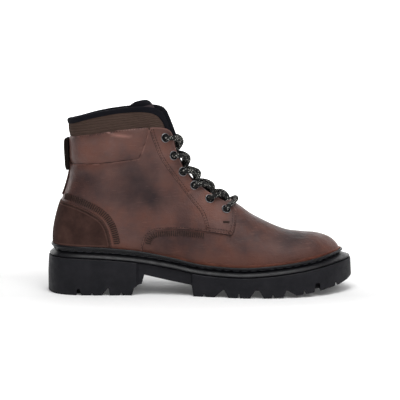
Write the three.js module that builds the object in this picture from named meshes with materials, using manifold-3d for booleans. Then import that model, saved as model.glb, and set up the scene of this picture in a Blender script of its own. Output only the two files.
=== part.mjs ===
// A right-foot lace-up leather ankle boot with a lugged rubber sole, as a three.js scene graph.
// Millimetres, +X to the toe, +Y to the inner (medial) side, +Z up. The origin is on the floor under the
// middle of the boot's bounding box.
import * as THREE from "three";
import { mergeVertices } from "three/addons/utils/BufferGeometryUtils.js";
import Module from "manifold-3d";

const wasm = await Module();
wasm.setup();

// ---------------------------------------------------------------- driving dimensions

const LATERAL = -1;
const MEDIAL = 1;
const SIDES = { lateral: LATERAL, medial: MEDIAL };

const SEAM_GAP = 0.4; // clearance kept between neighbouring pieces
const LEATHER = 2.0; // thickness of the upper's leather
const FLAP_GAP = 28; // opening between the two eyelet flaps
const SHAFT_MIDDLE = -1.5; // the y of the shaft's and the lacing's middle
const HEEL_TIP = -147; // the upper's rearmost point
const TOE_TIP = 142; // the upper's foremost point
const BELOW_FEATHER = 17; // how far the last's walls run on below the feather line before they are trimmed

// Outline of the sole seen from above, anticlockwise from the heel: [x, y].
const SOLE_OUTLINE = [
  [-152.5, 0], [-149, -17], [-140, -29], [-122, -36.5], [-95, -38], [-60, -37.5], [-25, -39],
  [10, -46], [42, -52.5], [70, -53.2], [97, -49], [122, -38], [140, -22], [150, -7], [152.5, 5],
  [150, 18], [141, 32], [125, 43.5], [100, 51], [70, 53.5], [42, 50], [12, 43], [-20, 36.5],
  [-60, 34.5], [-95, 36], [-122, 35], [-140, 28], [-149, 16.5],
];
// How far the upper stands in from that outline: [x, inset].
const UPPER_INSET = [[-153, 5.5], [-60, 7.5], [60, 8], [120, 9.5], [153, 10.5]];

// Height of the feather line, where the upper meets the sole: [x, z].
const FEATHER = [
  [-156, 48], [-100, 46.5], [-60, 43], [-27, 37.5], [0, 32.5], [35, 30.5], [65, 32], [100, 36],
  [125, 40], [142, 42.5], [156, 44],
];
// Centre lines of the upper in the side view, both from the collar down: [x, z].
const FRONT_LINE = [
  [-37, 200], [-31, 183], [-25.5, 170], [-20, 156], [-16, 143], [-9, 129], [2, 115], [16, 103],
  [34, 90], [60, 73], [84, 62], [102, 59], [118, 57.5], [131, 53], [139, 46], [TOE_TIP, 38],
  [TOE_TIP, 24],
];
const BACK_LINE = [
  [-136, 200], [-132, 172], [-128.5, 150], [-128, 137], [-129.5, 121], [-133.5, 105], [-139, 90],
  [-143.5, 75], [-146.3, 61], [HEEL_TIP, 48], [HEEL_TIP, 31],
];
// The upper is cut into sections by planes that fan out from this point (x, z) beyond the toe.
const PIVOT = { x: 190, z: 200 };
// Shape of each section: [fan angle, width factor, share of it that stays full width, roundness].
const SECTION_SHAPE = [
  [0, 1.2, 0.36, 2.3], [6, 1.17, 0.34, 2.3], [12, 1.12, 0.32, 2.3], [18, 1.08, 0.3, 2.3],
  [24, 1.06, 0.22, 2.2], [34, 1.05, 0.05, 2.1], [46, 1.04, 0, 2.1], [56, 1.03, 0, 2.2],
  [66, 1.02, 0, 2.3], [76, 1.01, 0, 2.4],
];
const FAN_ANGLES = [
  2, 5.5, 9, 12.5, 16.5, 20.5, 24, 26.7, 31, 36, 41.5, 47, 52.5, 57.5, 62, 66, 69.5, 72.3, 73.9,
];
const ROUND_STEPS = 8; // steps of a section from its back or bottom to its front, on one side
const SEAM_STEPS = 2; // straight pieces of a seam between two of its points

// Seams in the side view: [x, z].
const BINDING_TOP = [
  [-140, 169], [-127, 172], [-106, 177], [-87, 180.5], [-68, 183], [-48, 183.5], [-38, 181],
  [-31, 176], [-10, 166],
];
const BINDING_LOW = [
  [-145, 163], [-125, 166.5], [-106, 171.5], [-87, 175.5], [-64, 178], [-46, 177], [-37, 171],
  [-32, 160], [-29, 152],
];
const LEATHER_TOP = [
  [-140, 152.5], [-124, 155], [-106, 157.5], [-87, 160.5], [-67, 163], [-48, 164], [-38, 163.5],
  [-30, 160], [-22, 154], [-12, 152],
];
const ANKLE_SEAM = [[-140, 127], [-124, 128], [-96, 129.5], [-60, 133.5]];
const ANKLE_FRONT_SEAM = [[-60, 133.5], [-56.5, 140], [-52, 154], [-49, 164.4]];
const EYESTAY_SEAM = [
  [-48.5, 164.4], [-47.5, 160], [-45, 150], [-38, 132], [-25, 113], [-10, 93], [0, 81], [4.5, 68],
  [5, 59.6],
];
const QUARTER_HEM = [[-56, 34], [-54, 46], [-49, 55], [-40, 59.5], [-22, 61], [5, 60], [25, 57.5]];
const THROAT_EDGE = [[25, 57.5], [29.5, 59], [33, 66], [36, 76], [38, 90], [42, 104]];
const COUNTER_TOP = [
  [-154, 94], [-136, 91], [-121, 88], [-107, 82], [-96, 74.5], [-90, 65], [-87, 54], [-85, 38],
];
const BACKSTAY_Z = [95, 151];
const PULL_LOOP = { reach: 8.6, strap: 1.4, wide: 18, low: 120.5, high: 151.5 };

// [x, z], top one first
const EYELET_AT = [[-34, 153], [-26, 135.5], [-17, 119.5], [-5.5, 106], [9.5, 93], [25.5, 83]];
const EYELET = { hole: 2.9, barrel: 3.6, flange: 4.8, seat: 0.35, top: 1.05 };
const EYELET_CUT = 4.1; // radius of the hole in the flap
const EYELET_SIDES = 8;
const LACE_RADIUS = 2.2;
const CORD_SIDES = 8;
// Heights of the lace over the upper's surface (under it when negative), and distances from the middle.
const STRAND = { bend: 2.6, above: 1.1, below: -3.5, under: -6.1, over: 3.5, leave: 8.8, arrive: 12.3,
  high: -0.2, low: -5.2, bar: 2.2 };
// How each free end of the lace hangs inside the shaft: [x, distance from the shaft's middle, z].
const TAIL_ROUTE = [
  [-43.5, 15.7, 150.5], [-48, 13.4, 147], [-51, 13, 140], [-52, 13, 123], [-52, 13, 105], [-52, 13, 86],
];
const AGLET = { radius: 1.7, length: 18 };

const OUTSOLE_DROP = 11; // from the feather line down to the outsole's upper edge
// Underside of the sole in the side view, from the heel to the toe: [x, z].
const UNDERSIDE = [
  [-160, 1.5], [-140, 0], [-66.5, 0], [-64.5, 7], [-61, 10], [-57, 11], [-54.5, 20], [-30, 14.5],
  [-8, 10.5], [-6.5, 0], [60, 0], [84, 1.2], [112, 4.5], [138, 9], [147, 12], [160, 19],
];
// Grooves across the tread: [x at the bottom, width at the bottom, width at the top, depth].
const GROOVES = [
  [-119, 4, 2, 5], [-91, 9, 2, 7.5], [21, 11, 3, 7.5], [56, 12, 7, 7], [89, 12, 4, 8],
  [117, 6, 5, 9],
];
const SIPES = [
  [-105, 2.4, 1.2, 2.6], [-78, 2.4, 1.2, 3], [5, 2.4, 1.2, 3], [38, 2.4, 1.2, 3.4],
  [72, 2.4, 1.2, 3.4], [103, 2.4, 1.4, 3.4], [135, 2.6, 1.4, 3.4],
];

const COLOUR = {
  leather: 0x6b4439, nubuck: 0x54402f, textile: 0x4a3f33, black: 0x1f1f26, rubber: 0x28282c,
  gloss: 0x202024, metal: 0x4a4a50, lace: 0x35342f, foam: 0x8a877f, board: 0xa98f68, cork: 0x9a7a55,
  steel: 0x8d9096, plastic: 0x303034,
};

// ---------------------------------------------------------------- curves and tables

const lerp = THREE.MathUtils.lerp;
const degrees = THREE.MathUtils.radToDeg;
const radians = THREE.MathUtils.degToRad;

// Value at x in sorted rows of [x, value...], straight between rows.
function tableValue(rows, x, column = 1) {
  if (x <= rows[0][0]) return rows[0][column];
  for (let i = 1; i < rows.length; i++) {
    const [a, b] = [rows[i - 1], rows[i]];
    if (x <= b[0]) return lerp(a[column], b[column], (x - a[0]) / (b[0] - a[0]));
  }
  return rows[rows.length - 1][column];
}

// A smooth line through [x, z] points, as more [x, z] points.
function smooth(points, steps = SEAM_STEPS) {
  const curve = new THREE.SplineCurve(points.map(([x, z]) => new THREE.Vector2(x, z)));
  return curve.getPoints(steps * (points.length - 1)).map((p) => [p.x, p.y]);
}

const FEATHER_FINE = smooth(FEATHER, 12);
const feather = (x) => tableValue(FEATHER_FINE, x);
const upperInset = (x) => tableValue(UPPER_INSET, x);
const underside = (x) => tableValue(UNDERSIDE, x);

const outlineCurve = new THREE.CatmullRomCurve3(
  SOLE_OUTLINE.map(([x, y]) => new THREE.Vector3(x, y, 0)), true, "catmullrom", 0.5);
const OUTLINE_FINE = outlineCurve.getPoints(28 * 16).slice(0, -1);

// The two sides of the sole's outline moved inwards, as sorted tables of [x, y].
function insetSides(inset) {
  const n = OUTLINE_FINE.length;
  const moved = OUTLINE_FINE.map((p, i) => {
    const along = OUTLINE_FINE[(i + 1) % n].clone().sub(OUTLINE_FINE[(i + n - 1) % n]).normalize();
    const d = typeof inset === "function" ? inset(p.x) : inset;
    return [p.x - along.y * d, p.y + along.x * d];
  });
  const tip = (sign) => moved.reduce((best, p, i) => (sign * p[0] > sign * moved[best][0] ? i : best), 0);
  const [heel, toe] = [tip(-1), tip(1)];
  const walk = (from, to) => {
    const found = [];
    for (let i = from; ; i = (i + 1) % n) {
      found.push(moved[i]);
      if (i === to) return found;
    }
  };
  return { lateral: walk(heel, toe), medial: walk(toe, heel).reverse(), heel: moved[heel][0],
    toe: moved[toe][0] };
}

const upperSides = insetSides(upperInset);

// Half-width and middle of the upper's footprint at x.
function footprint(x) {
  const at = THREE.MathUtils.clamp(x, upperSides.heel, upperSides.toe);
  const low = tableValue(upperSides.lateral, at);
  const high = tableValue(upperSides.medial, at);
  return { half: Math.max(0, (high - low) / 2), middle: (high + low) / 2 };
}

// ---------------------------------------------------------------- the upper's surface

const fanAngle = (x, z) => degrees(Math.atan2(PIVOT.z - z, PIVOT.x - x));
const fanRadius = (x, z) => Math.hypot(PIVOT.x - x, PIVOT.z - z);
const toFan = (points) => points
  .map(([x, z]) => [fanAngle(x, z), fanRadius(x, z)])
  .sort((a, b) => a[0] - b[0]);

const frontFan = toFan(smooth(FRONT_LINE, 16));
const backFan = toFan(smooth(BACK_LINE, 16));
const bottomFan = toFan(Array.from({ length: 90 }, (_, i) => {
  const x = lerp(HEEL_TIP, TOE_TIP, i / 89);
  return [x, feather(x) - BELOW_FEATHER];
}));
const CORNER_ANGLE = bottomFan[0][0]; // below this the sections end at the back, above it at the bottom

// A point of the upper's outer surface: share runs from the back or bottom (0) to the front or top (1).
function upperPoint(angle, share, side) {
  const front = tableValue(frontFan, angle);
  const rear = angle < CORNER_ANGLE ? tableValue(backFan, angle) : tableValue(bottomFan, angle);
  const radius = lerp(rear, front, share);
  const direction = radians(angle);
  const x = PIVOT.x - radius * Math.cos(direction);
  const z = PIVOT.z - radius * Math.sin(direction);
  const rearX = PIVOT.x - rear * Math.cos(direction);
  const shift = angle < CORNER_ANGLE ? HEEL_TIP - rearX : 0;
  const print = footprint(x + shift);
  const hidden = angle < CORNER_ANGLE ? 0 : BELOW_FEATHER / (rear - front); // the share below the feather
  const full = lerp(hidden, 1, tableValue(SECTION_SHAPE, angle, 2));
  const climb = Math.max(0, (share - full) / (1 - full));
  const swell = Math.min(1, Math.max(0, share - hidden) * 3);
  const widening = 1 + (tableValue(SECTION_SHAPE, angle, 1) - 1) * swell;
  const closing = Math.sqrt(Math.max(0, 1 - climb ** tableValue(SECTION_SHAPE, angle, 3)));
  return new THREE.Vector3(x, print.middle + side * print.half * widening * closing, z);
}

const shareAt = (t) => (1 - Math.cos(Math.PI * t)) / 2;

// The outward normal, by differences over a small step of t and angle.
function upperNormal(angle, t, side) {
  const step = 0.02;
  const [t0, t1] = [Math.max(0, t - step), Math.min(1, t + step)];
  const acrossIt = upperPoint(angle, shareAt(t1), side).sub(upperPoint(angle, shareAt(t0), side));
  const alongIt = upperPoint(angle + 0.6, shareAt(t), side).sub(upperPoint(angle - 0.6, shareAt(t), side));
  const normal = acrossIt.cross(alongIt).multiplyScalar(side);
  const centred = t > 0.999 || (t < 0.001 && angle < CORNER_ANGLE);
  if (centred) normal.y = 0;
  return normal.normalize();
}

function offsetPoint(angle, t, side, offset) {
  return upperPoint(angle, shareAt(t), side).addScaledVector(upperNormal(angle, t, side), offset);
}

// Fan angle and t of the surface point that the side view shows at x, z.
function surfaceAt(x, z) {
  const angle = fanAngle(x, z);
  const front = tableValue(frontFan, angle);
  const rear = angle < CORNER_ANGLE ? tableValue(backFan, angle) : tableValue(bottomFan, angle);
  const share = THREE.MathUtils.clamp((rear - fanRadius(x, z)) / (rear - front), 0, 1);
  return { angle, t: Math.acos(1 - 2 * share) / Math.PI };
}

// t of the point of a section where its half-width falls to a given value, on the way to the front.
function tAtWidth(angle, width) {
  let [low, high] = [0.5, 1];
  for (let i = 0; i < 30; i++) {
    const middle = (low + high) / 2;
    const p = upperPoint(angle, shareAt(middle), MEDIAL);
    const q = upperPoint(angle, shareAt(middle), LATERAL);
    if ((p.y - q.y) / 2 > width) low = middle;
    else high = middle;
  }
  return (low + high) / 2;
}

// ---------------------------------------------------------------- solids

function toSolid(geometry) {
  const bare = geometry.clone();
  for (const name of Object.keys(bare.attributes)) if (name !== "position") bare.deleteAttribute(name);
  const merged = mergeVertices(bare, 1e-4);
  const index = merged.index.array;
  const kept = [];
  for (let i = 0; i < index.length; i += 3) {
    const [a, b, c] = [index[i], index[i + 1], index[i + 2]];
    if (a !== b && b !== c && c !== a) kept.push(a, b, c);
  }
  return new wasm.Manifold(new wasm.Mesh({
    numProp: 3, vertProperties: merged.attributes.position.array, triVerts: new Uint32Array(kept),
  }));
}

function toGeometry(solid) {
  const mesh = solid.getMesh();
  const geometry = new THREE.BufferGeometry();
  geometry.setAttribute("position", new THREE.BufferAttribute(new Float32Array(mesh.vertProperties), 3));
  geometry.setIndex(new THREE.BufferAttribute(new Uint32Array(mesh.triVerts), 1));
  geometry.computeVertexNormals();
  return geometry;
}

// Rings of equal length joined by quads. Each ring runs along one side of the piece and back along the
// other, so that the ends can be closed with strips from side to side.
function ringsSolid(rings) {
  const n = rings[0].length;
  const index = [];
  for (let r = 0; r + 1 < rings.length; r++) {
    for (let k = 0; k < n; k++) {
      const [a, b] = [r * n + k, r * n + ((k + 1) % n)];
      index.push(a, b, b + n, a, b + n, a + n);
    }
  }
  for (const [base, first] of [[0, true], [(rings.length - 1) * n, false]]) {
    for (let k = 0; k + 1 <= n - 2 - k; k++) {
      const [a, b, c, d] = [k, k + 1, n - 1 - k, n - 2 - k].map((i) => base + i);
      if (first) index.push(a, c, b);
      else index.push(a, b, c);
      if (b !== d && first) index.push(b, c, d);
      if (b !== d && !first) index.push(b, d, c);
    }
  }
  const geometry = new THREE.BufferGeometry();
  geometry.setAttribute("position",
    new THREE.Float32BufferAttribute(rings.flat().flatMap((p) => [p.x, p.y, p.z]), 3));
  geometry.setIndex(index);
  return facingOut(geometry);
}

function facingOut(geometry) {
  const solid = toSolid(geometry);
  if (solid.volume() > 0) return solid;
  const index = geometry.index.array;
  for (let i = 0; i < index.length; i += 3) [index[i + 1], index[i + 2]] = [index[i + 2], index[i + 1]];
  return toSolid(geometry);
}

// The last as one solid, its surface moved out by offset.
function lastSolid(offset) {
  const rings = FAN_ANGLES.map((angle) => {
    const point = (k, side) => offsetPoint(angle, k / ROUND_STEPS, side, offset);
    const ring = [];
    for (let k = 0; k <= ROUND_STEPS; k++) ring.push(point(k, LATERAL));
    for (let k = ROUND_STEPS - 1; k >= 0; k--) ring.push(point(k, MEDIAL));
    return ring;
  });
  return ringsSolid(rings);
}

// Removes what only triangulation and shading need, so that equal corners can be merged.
function bareIndexed(geometry) {
  for (const name of Object.keys(geometry.attributes)) {
    if (name !== "position") geometry.deleteAttribute(name);
  }
  return mergeVertices(geometry, 1e-4);
}

// The side view's outline as a wall of material from yLow to yHigh.
function prism(outline, yLow = -120, yHigh = 120) {
  const apart = outline.filter(([x, z], i) => {
    const [px, pz] = outline[(i + outline.length - 1) % outline.length];
    return Math.hypot(x - px, z - pz) > 0.05;
  });
  const shape = new THREE.Shape(apart.map(([x, z]) => new THREE.Vector2(x, z)));
  const geometry = new THREE.ExtrudeGeometry(shape, { depth: yHigh - yLow, bevelEnabled: false });
  geometry.rotateX(Math.PI / 2); // the outline's height becomes Z, and the depth runs towards -Y
  geometry.translate(0, yHigh, 0);
  return facingOut(bareIndexed(geometry));
}

// A thin wall along a seam, which trims the pieces on both sides of it.
function knife(points, width = SEAM_GAP) {
  const line = smooth(points);
  const left = [];
  const right = [];
  line.forEach(([x, z], i) => {
    const [a, b] = [line[Math.max(0, i - 1)], line[Math.min(line.length - 1, i + 1)]];
    const long = Math.hypot(b[0] - a[0], b[1] - a[1]);
    const [nx, nz] = [(-(b[1] - a[1]) / long) * width / 2, ((b[0] - a[0]) / long) * width / 2];
    left.push([x + nx, z + nz]);
    right.push([x - nx, z - nz]);
  });
  return prism([...left, ...right.reverse()]);
}

// A solid of the sole: each ring is {inset, z: height at x}, from the bottom one to the top one.
function soleSolid(levels, { from = -999, to = 999, steps = 26 } = {}) {
  const rings = levels.map(({ inset, z }) => {
    const sides = insetSides(inset);
    const [x0, x1] = [Math.max(from, sides.heel + 0.01), Math.min(to, sides.toe - 0.01)];
    const xs = Array.from({ length: steps + 1 }, (_, i) => lerp(x0, x1, shareAt(i / steps)));
    const lateral = xs.map((x) => new THREE.Vector3(x, tableValue(sides.lateral, x), z(x)));
    const medial = xs.map((x) => new THREE.Vector3(x, tableValue(sides.medial, x), z(x)));
    return [...lateral, ...medial.reverse()];
  });
  return ringsSolid(rings);
}

// ---------------------------------------------------------------- the boot

const boot = new THREE.Group();

function add(name, shape, colour, roughness = 0.7, metalness = 0) {
  const geometry = shape.isBufferGeometry ? shape : toGeometry(shape);
  const mesh = new THREE.Mesh(geometry,
    new THREE.MeshStandardMaterial({ color: colour, roughness, metalness }));
  mesh.name = name;
  boot.add(mesh);
  return mesh;
}

const shellCache = new Map();
function lastAt(offset) {
  if (!shellCache.has(offset)) shellCache.set(offset, lastSolid(offset));
  return shellCache.get(offset);
}
const layer = (outer, inner) => lastAt(outer).subtract(lastAt(inner));

const featherEdge = (lift) => Array.from({ length: 41 }, (_, i) => {
  const x = lerp(-156, 156, i / 40);
  return [x, feather(x) + lift];
});
const aboveSole = prism([...featherEdge(0.4), [156, 260], [-156, 260]]);
const THROAT_AREA = [
  [30, 60], [36, 76], [38, 90], [60, 110], [40, 230], [-75, 230], [-75, 150], [-45, 120], [-10, 80],
];
const flapGap = prism(THROAT_AREA, SHAFT_MIDDLE - FLAP_GAP / 2, SHAFT_MIDDLE + FLAP_GAP / 2);
const SEAMS = [
  BINDING_LOW, LEATHER_TOP, ANKLE_SEAM, ANKLE_FRONT_SEAM, EYESTAY_SEAM, QUARTER_HEM, THROAT_EDGE,
];
const seams = SEAMS
  .map((points) => knife(points))
  .reduce((a, b) => a.add(b));

// Where the side view's outline of each area runs, with smooth seams and straight hidden edges.
const hem = smooth(QUARTER_HEM);
const throat = smooth(THROAT_EDGE);
const eyestaySeam = smooth(EYESTAY_SEAM);
const ankleSeam = smooth(ANKLE_SEAM);
const ankleFront = smooth(ANKLE_FRONT_SEAM);
const leatherTop = smooth(LEATHER_TOP);
const bindingLow = smooth(BINDING_LOW);
const bindingTop = smooth(BINDING_TOP);

const AREA = {
  vamp: [...hem, ...throat, [160, 120], [160, 10], [-56, 10]],
  quarter: [
    [-160, 10], [-56, 10], ...hem.filter(([x]) => x < 5),
    ...[...eyestaySeam].reverse().filter(([, z]) => z > 60.5),
    ...[...ankleFront].reverse(), ...[...ankleSeam].reverse(), [-160, 127],
  ],
  ankle: [
    ...ankleSeam, ...ankleFront, ...[...leatherTop].reverse().filter(([x]) => x < -48.5), [-160, 152],
  ],
  eyestay: [...eyestaySeam.filter(([x, z]) => z > 60 && z < 163.8), ...hem.filter(([x]) => x > 5),
    ...throat, ...[...leatherTop].reverse().filter(([x]) => x > -47.5)],
  collar: [...leatherTop.filter(([x]) => x < -34), ...[...bindingLow].reverse().filter(([, z]) => z > 164),
    [-160, 152]],
  roll: [...bindingLow, [-8, 150], ...[...bindingTop].reverse()],
};
// Where the layers inside the boot reach, drawn back by trim from their front and top edges.
const innerArea = (trim) => [
  [-160, 10], [160, 10], [160, 120], [38 + trim, 104], [35 + trim, 78], [29 + trim, 59 - trim],
  [6 - trim, 60 - trim], [2 - trim, 78], [-26 - trim, 112], [-40 - trim, 133], [-49 - trim, 150],
  [-53 - trim, 162], [-54 - trim, 177 - trim], [-64 - trim, 177 - trim], [-87, 174.6 - trim],
  [-106, 170.6 - trim], [-125, 165.6 - trim], [-160, 157 - trim],
];
const sideRange = (side, gap) => (side === LATERAL ? [-120, -gap] : [gap, 120]);

function panel(area, shell, side) {
  const range = side ? sideRange(side, SEAM_GAP / 2) : [-120, 120];
  return shell.intersect(prism(AREA[area], ...range)).subtract(seams).intersect(aboveSole);
}
// The largest body of a cut solid: slivers left at the edge of a prism are dropped.
const main = (solid) => solid.decompose().reduce((a, b) => (b.volume() > a.volume() ? b : a));

// ---- eyelets: where each one stands, and the cutters for their holes

function eyeletFrame([x, z], side) {
  const { angle, t } = surfaceAt(x, z);
  const normal = upperNormal(angle, t, side);
  return { at: upperPoint(angle, shareAt(t), side), normal, angle, t };
}
const eyeletFrames = Object.fromEntries(
  Object.entries(SIDES).map(([name, side]) => [name, EYELET_AT.map((at) => eyeletFrame(at, side))]));

function placeAlong(geometry, frame) {
  const turn = new THREE.Quaternion().setFromUnitVectors(new THREE.Vector3(0, 1, 0), frame.normal);
  return geometry.applyQuaternion(turn).translate(frame.at.x, frame.at.y, frame.at.z);
}
function eyeletCutters(side) {
  const pin = () => new THREE.CylinderGeometry(EYELET_CUT, EYELET_CUT, 20, EYELET_SIDES);
  return eyeletFrames[side]
    .map((frame) => toSolid(placeAlong(pin(), frame)))
    .reduce((a, b) => a.add(b));
}

// ---- leather panels

// Outer and inner face of each layer, over the last's surface.
const LAYER = {
  leather: [0, -LEATHER],
  facing: [-LEATHER - 0.3, -LEATHER - 1.2],
  counter: [1.7, 0.4],
  roll: [0.8, -7.6],
  stiffener: [-2.4, -3.3],
  insulation: [-3.7, -6.3],
  lining: [-6.7, -7.6],
};
const FACING_AREA = [
  [-48, 161], [-36, 161], [-24, 150], [10, 100], [34, 84], [28, 62], [8, 62], [2, 80], [-23, 111],
  [-36, 132],
];
const FLAP_AREA = [[-90, 40], [60, 40], [60, 180], [-90, 180]];
const TOE_PUFF_AREA = [[96, 10], [160, 10], [160, 90], [96, 90]];
const HEEL_STIFFENER_AREA = [[-160, 10], [-82, 10], [-88, 70], [-104, 92], [-160, 96]];
const INSULATION_TRIM = 4;

const leather = layer(...LAYER.leather);
add("vamp", main(panel("vamp", leather)), COLOUR.leather, 0.55);
for (const [name, side] of Object.entries(SIDES)) {
  const cutters = eyeletCutters(name);
  add("quarter_" + name, main(panel("quarter", leather, side)), COLOUR.leather, 0.55);
  add("ankle_panel_" + name, main(panel("ankle", leather, side)), COLOUR.leather, 0.55);
  const eyestay = panel("eyestay", leather, side).subtract(flapGap).subtract(cutters);
  add("eyestay_" + name, main(eyestay), COLOUR.leather, 0.55);
  const facing = layer(...LAYER.facing)
    .intersect(prism(FACING_AREA))
    .intersect(prism(FLAP_AREA, ...sideRange(side, 1)))
    .subtract(flapGap)
    .subtract(cutters);
  add("eyestay_facing_" + name, main(facing), COLOUR.black, 0.9);
}
const counterArea = [[-160, 10], [-85, 10], ...smooth(COUNTER_TOP).reverse()];
const aboveWelt = prism([...featherEdge(1.4), [156, 260], [-156, 260]]);
const counter = layer(...LAYER.counter).intersect(prism(counterArea)).intersect(aboveWelt);
add("heel_counter", main(counter), COLOUR.nubuck, 0.9);

// ---- collar

add("collar_panel", main(panel("collar", leather).subtract(flapGap)), COLOUR.textile, 0.95);
const roll = layer(...LAYER.roll).intersect(prism(AREA.roll)).subtract(seams).subtract(flapGap);
add("collar_roll", main(roll), COLOUR.black, 0.95);

// ---- inner layers

const stiffener = (area) => main(layer(...LAYER.stiffener).intersect(prism(area)).intersect(aboveSole));
const innerLayer = (faces, trim) =>
  main(layer(...faces).intersect(prism(innerArea(trim))).intersect(aboveSole).subtract(flapGap));
add("toe_puff", stiffener(TOE_PUFF_AREA), COLOUR.board, 0.9);
add("heel_stiffener", stiffener(HEEL_STIFFENER_AREA), COLOUR.board, 0.9);
add("insulation", innerLayer(LAYER.insulation, INSULATION_TRIM), COLOUR.foam, 0.95);
add("lining", innerLayer(LAYER.lining, 0), COLOUR.black, 0.95);

// ---- tongue: a padded strip under the flaps, whose free top leans back into the shaft

const TONGUE = { outer: -9, inner: -12.5, low: 35, hinge: 11.4, top: 3.6, lean: 18, wide: 20, rise: 2.2 };
function tonguePoint(row, across, offset, span) {
  const edge = Math.abs(across);
  const angle = lerp(span[0], span[1] + (span[1] < 5 ? TONGUE.rise * edge ** 2 : 0), row);
  const t = lerp(1, tAtWidth(angle, TONGUE.wide), edge);
  const p = offsetPoint(angle, t, across < 0 ? LATERAL : MEDIAL, offset);
  const leaning = THREE.MathUtils.smoothstep(-angle, -14, -TONGUE.top);
  p.x -= TONGUE.lean * leaning;
  return p;
}
function tonguePiece(span, rows) {
  const across = [-1, -0.75, -0.5, -0.25, 0, 0.25, 0.5, 0.75, 1];
  const rings = Array.from({ length: rows + 1 }, (_, i) => [
    ...across.map((a) => tonguePoint(i / rows, a, TONGUE.outer, span)),
    ...[...across].reverse().map((a) => tonguePoint(i / rows, a, TONGUE.inner, span)),
  ]);
  return ringsSolid(rings);
}
add("tongue_lower", tonguePiece([TONGUE.low, TONGUE.hinge + 0.5], 10), COLOUR.leather, 0.7);
add("tongue_top", tonguePiece([TONGUE.hinge, TONGUE.top], 4), COLOUR.black, 0.95);

// ---- backstay strip and pull loop

function backStrip(zLow, zHigh, half, outer, inner) {
  const area = [[-160, zLow], [-105, zLow], [-105, zHigh], [-160, zHigh]];
  return layer(outer, inner).intersect(prism(area, -half, half));
}
add("backstay", main(backStrip(BACKSTAY_Z[0], BACKSTAY_Z[1], 8, 1.6, 0.4)), COLOUR.nubuck, 0.8);
// The loop: a strap standing off the backstay, sewn down at both ends.
function pullLoop() {
  const { reach, strap, wide, low, high } = PULL_LOOP;
  const back = BACK_LINE[3][0];
  const outline = (shrink) => smooth([
    [back, high - shrink], [back - 0.5 * reach, high + 1 - shrink],
    [back - 0.85 * reach + shrink, high - 3 - shrink],
    [back - reach + shrink, high - 11], [back - 0.88 * reach + shrink, low + 9],
    [back - 0.6 * reach + shrink, low + 2 + shrink], [back, low + shrink],
  ]);
  return prism([...outline(0), ...outline(strap).reverse()], -wide / 2, wide / 2);
}
add("pull_loop", main(pullLoop().subtract(lastAt(2))), COLOUR.nubuck, 0.8);

// ---- eyelets

function eyeletGeometry() {
  const { hole, barrel, flange, seat, top } = EYELET;
  const profile = [
    [hole, -LEATHER - 0.9], [barrel, -LEATHER - 0.9], [barrel, seat], [flange, seat], [flange - 0.3, top],
    [hole, top], [hole, -LEATHER - 0.9],
  ];
  return new THREE.LatheGeometry(profile.map(([r, y]) => new THREE.Vector2(r, y)), EYELET_SIDES);
}
for (const side of Object.keys(SIDES)) {
  eyeletFrames[side].forEach((frame, i) => {
    add(`eyelet_${side}_${i + 1}`, facingOut(bareIndexed(placeAlong(eyeletGeometry(), frame))),
      COLOUR.metal, 0.35, 1);
  });
}

// ---- sole

// Insets are from the outsole's outline; heights called low and high are over the feather line.
const CHANNEL = { inset: 30, depth: 3.5, from: 4, to: 120 };
const HEEL_CHANNEL = { inset: 26, depth: 3.5, from: -140, to: -72 };
const SEAT = { inset: 17.2, low: -4.1 };
const SHANK = { inset: 20.4, low: -5.4, high: -4.4, from: -71, to: 5, halfWidth: 8.5 };
const SHANK_POCKET = { inset: 19, low: -5.7, from: -72, to: 6, halfWidth: 9 };
const FILLER = { inset: 20, low: -7, high: -4.4, from: 16, to: 124, gap: 0.3 };
const MIDSOLE_LEDGE = -4.9;
const WELT_LEVELS = [[4.6, -4.5], [3.5, -2], [4.4, 0.9]];
const WELT_LAP = 1.9;
const BOARD = { inset: 17.8, low: -3.7, high: -1.9 };
const FOOTBED = { inset: 18, low: -1.5, high: 2.5, sides: -8.2 };
// Where the cutters end, well clear of what they cut.
const CLEAR = 5;
const FAR_BELOW = -12;

const level = (inset, z) => ({ inset, z });
const overFeather = (inset, height) => level(inset, (x) => feather(x) + height);
const outsoleTop = (x) => feather(x) - OUTSOLE_DROP;
const overOutsole = (inset, height) => level(inset, (x) => outsoleTop(x) + height);
const lengthwise = ({ from, to, halfWidth }) =>
  prism([[from, 20], [from, 60], [to, 60], [to, 20]], -halfWidth, halfWidth);
function treadCut([x, wide, narrow, depth]) {
  const z = underside(x);
  const [half, roof] = [wide / 2, narrow / 2];
  return prism([
    [x - half, z + FAR_BELOW], [x - half, z], [x - roof, z + depth],
    [x + roof, z + depth], [x + half, z], [x + half, z + FAR_BELOW],
  ]);
}
function outsole() {
  const levels = [level(0, () => -10), overOutsole(0, -1.5), overOutsole(1.5, 0)];
  const body = soleSolid(levels, { steps: 28 });
  const below = prism([[-170, -20], [170, -20], ...[...UNDERSIDE].reverse()]);
  const { inset, depth, from, to } = CHANNEL;
  const channelLevels = [level(inset, () => FAR_BELOW), level(inset + 1.5, (x) => underside(x) + depth)];
  const channel = soleSolid(channelLevels, { from, to, steps: 10 });
  const heelLevels = [
    level(HEEL_CHANNEL.inset, () => FAR_BELOW), level(HEEL_CHANNEL.inset + 1, () => HEEL_CHANNEL.depth),
  ];
  const heelChannel = soleSolid(heelLevels, { from: HEEL_CHANNEL.from, to: HEEL_CHANNEL.to, steps: 8 });
  const cuts = [...GROOVES, ...SIPES].map(treadCut).reduce((a, b) => a.add(b));
  return main(body.subtract(below).subtract(cuts).subtract(channel).subtract(heelChannel));
}
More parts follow.
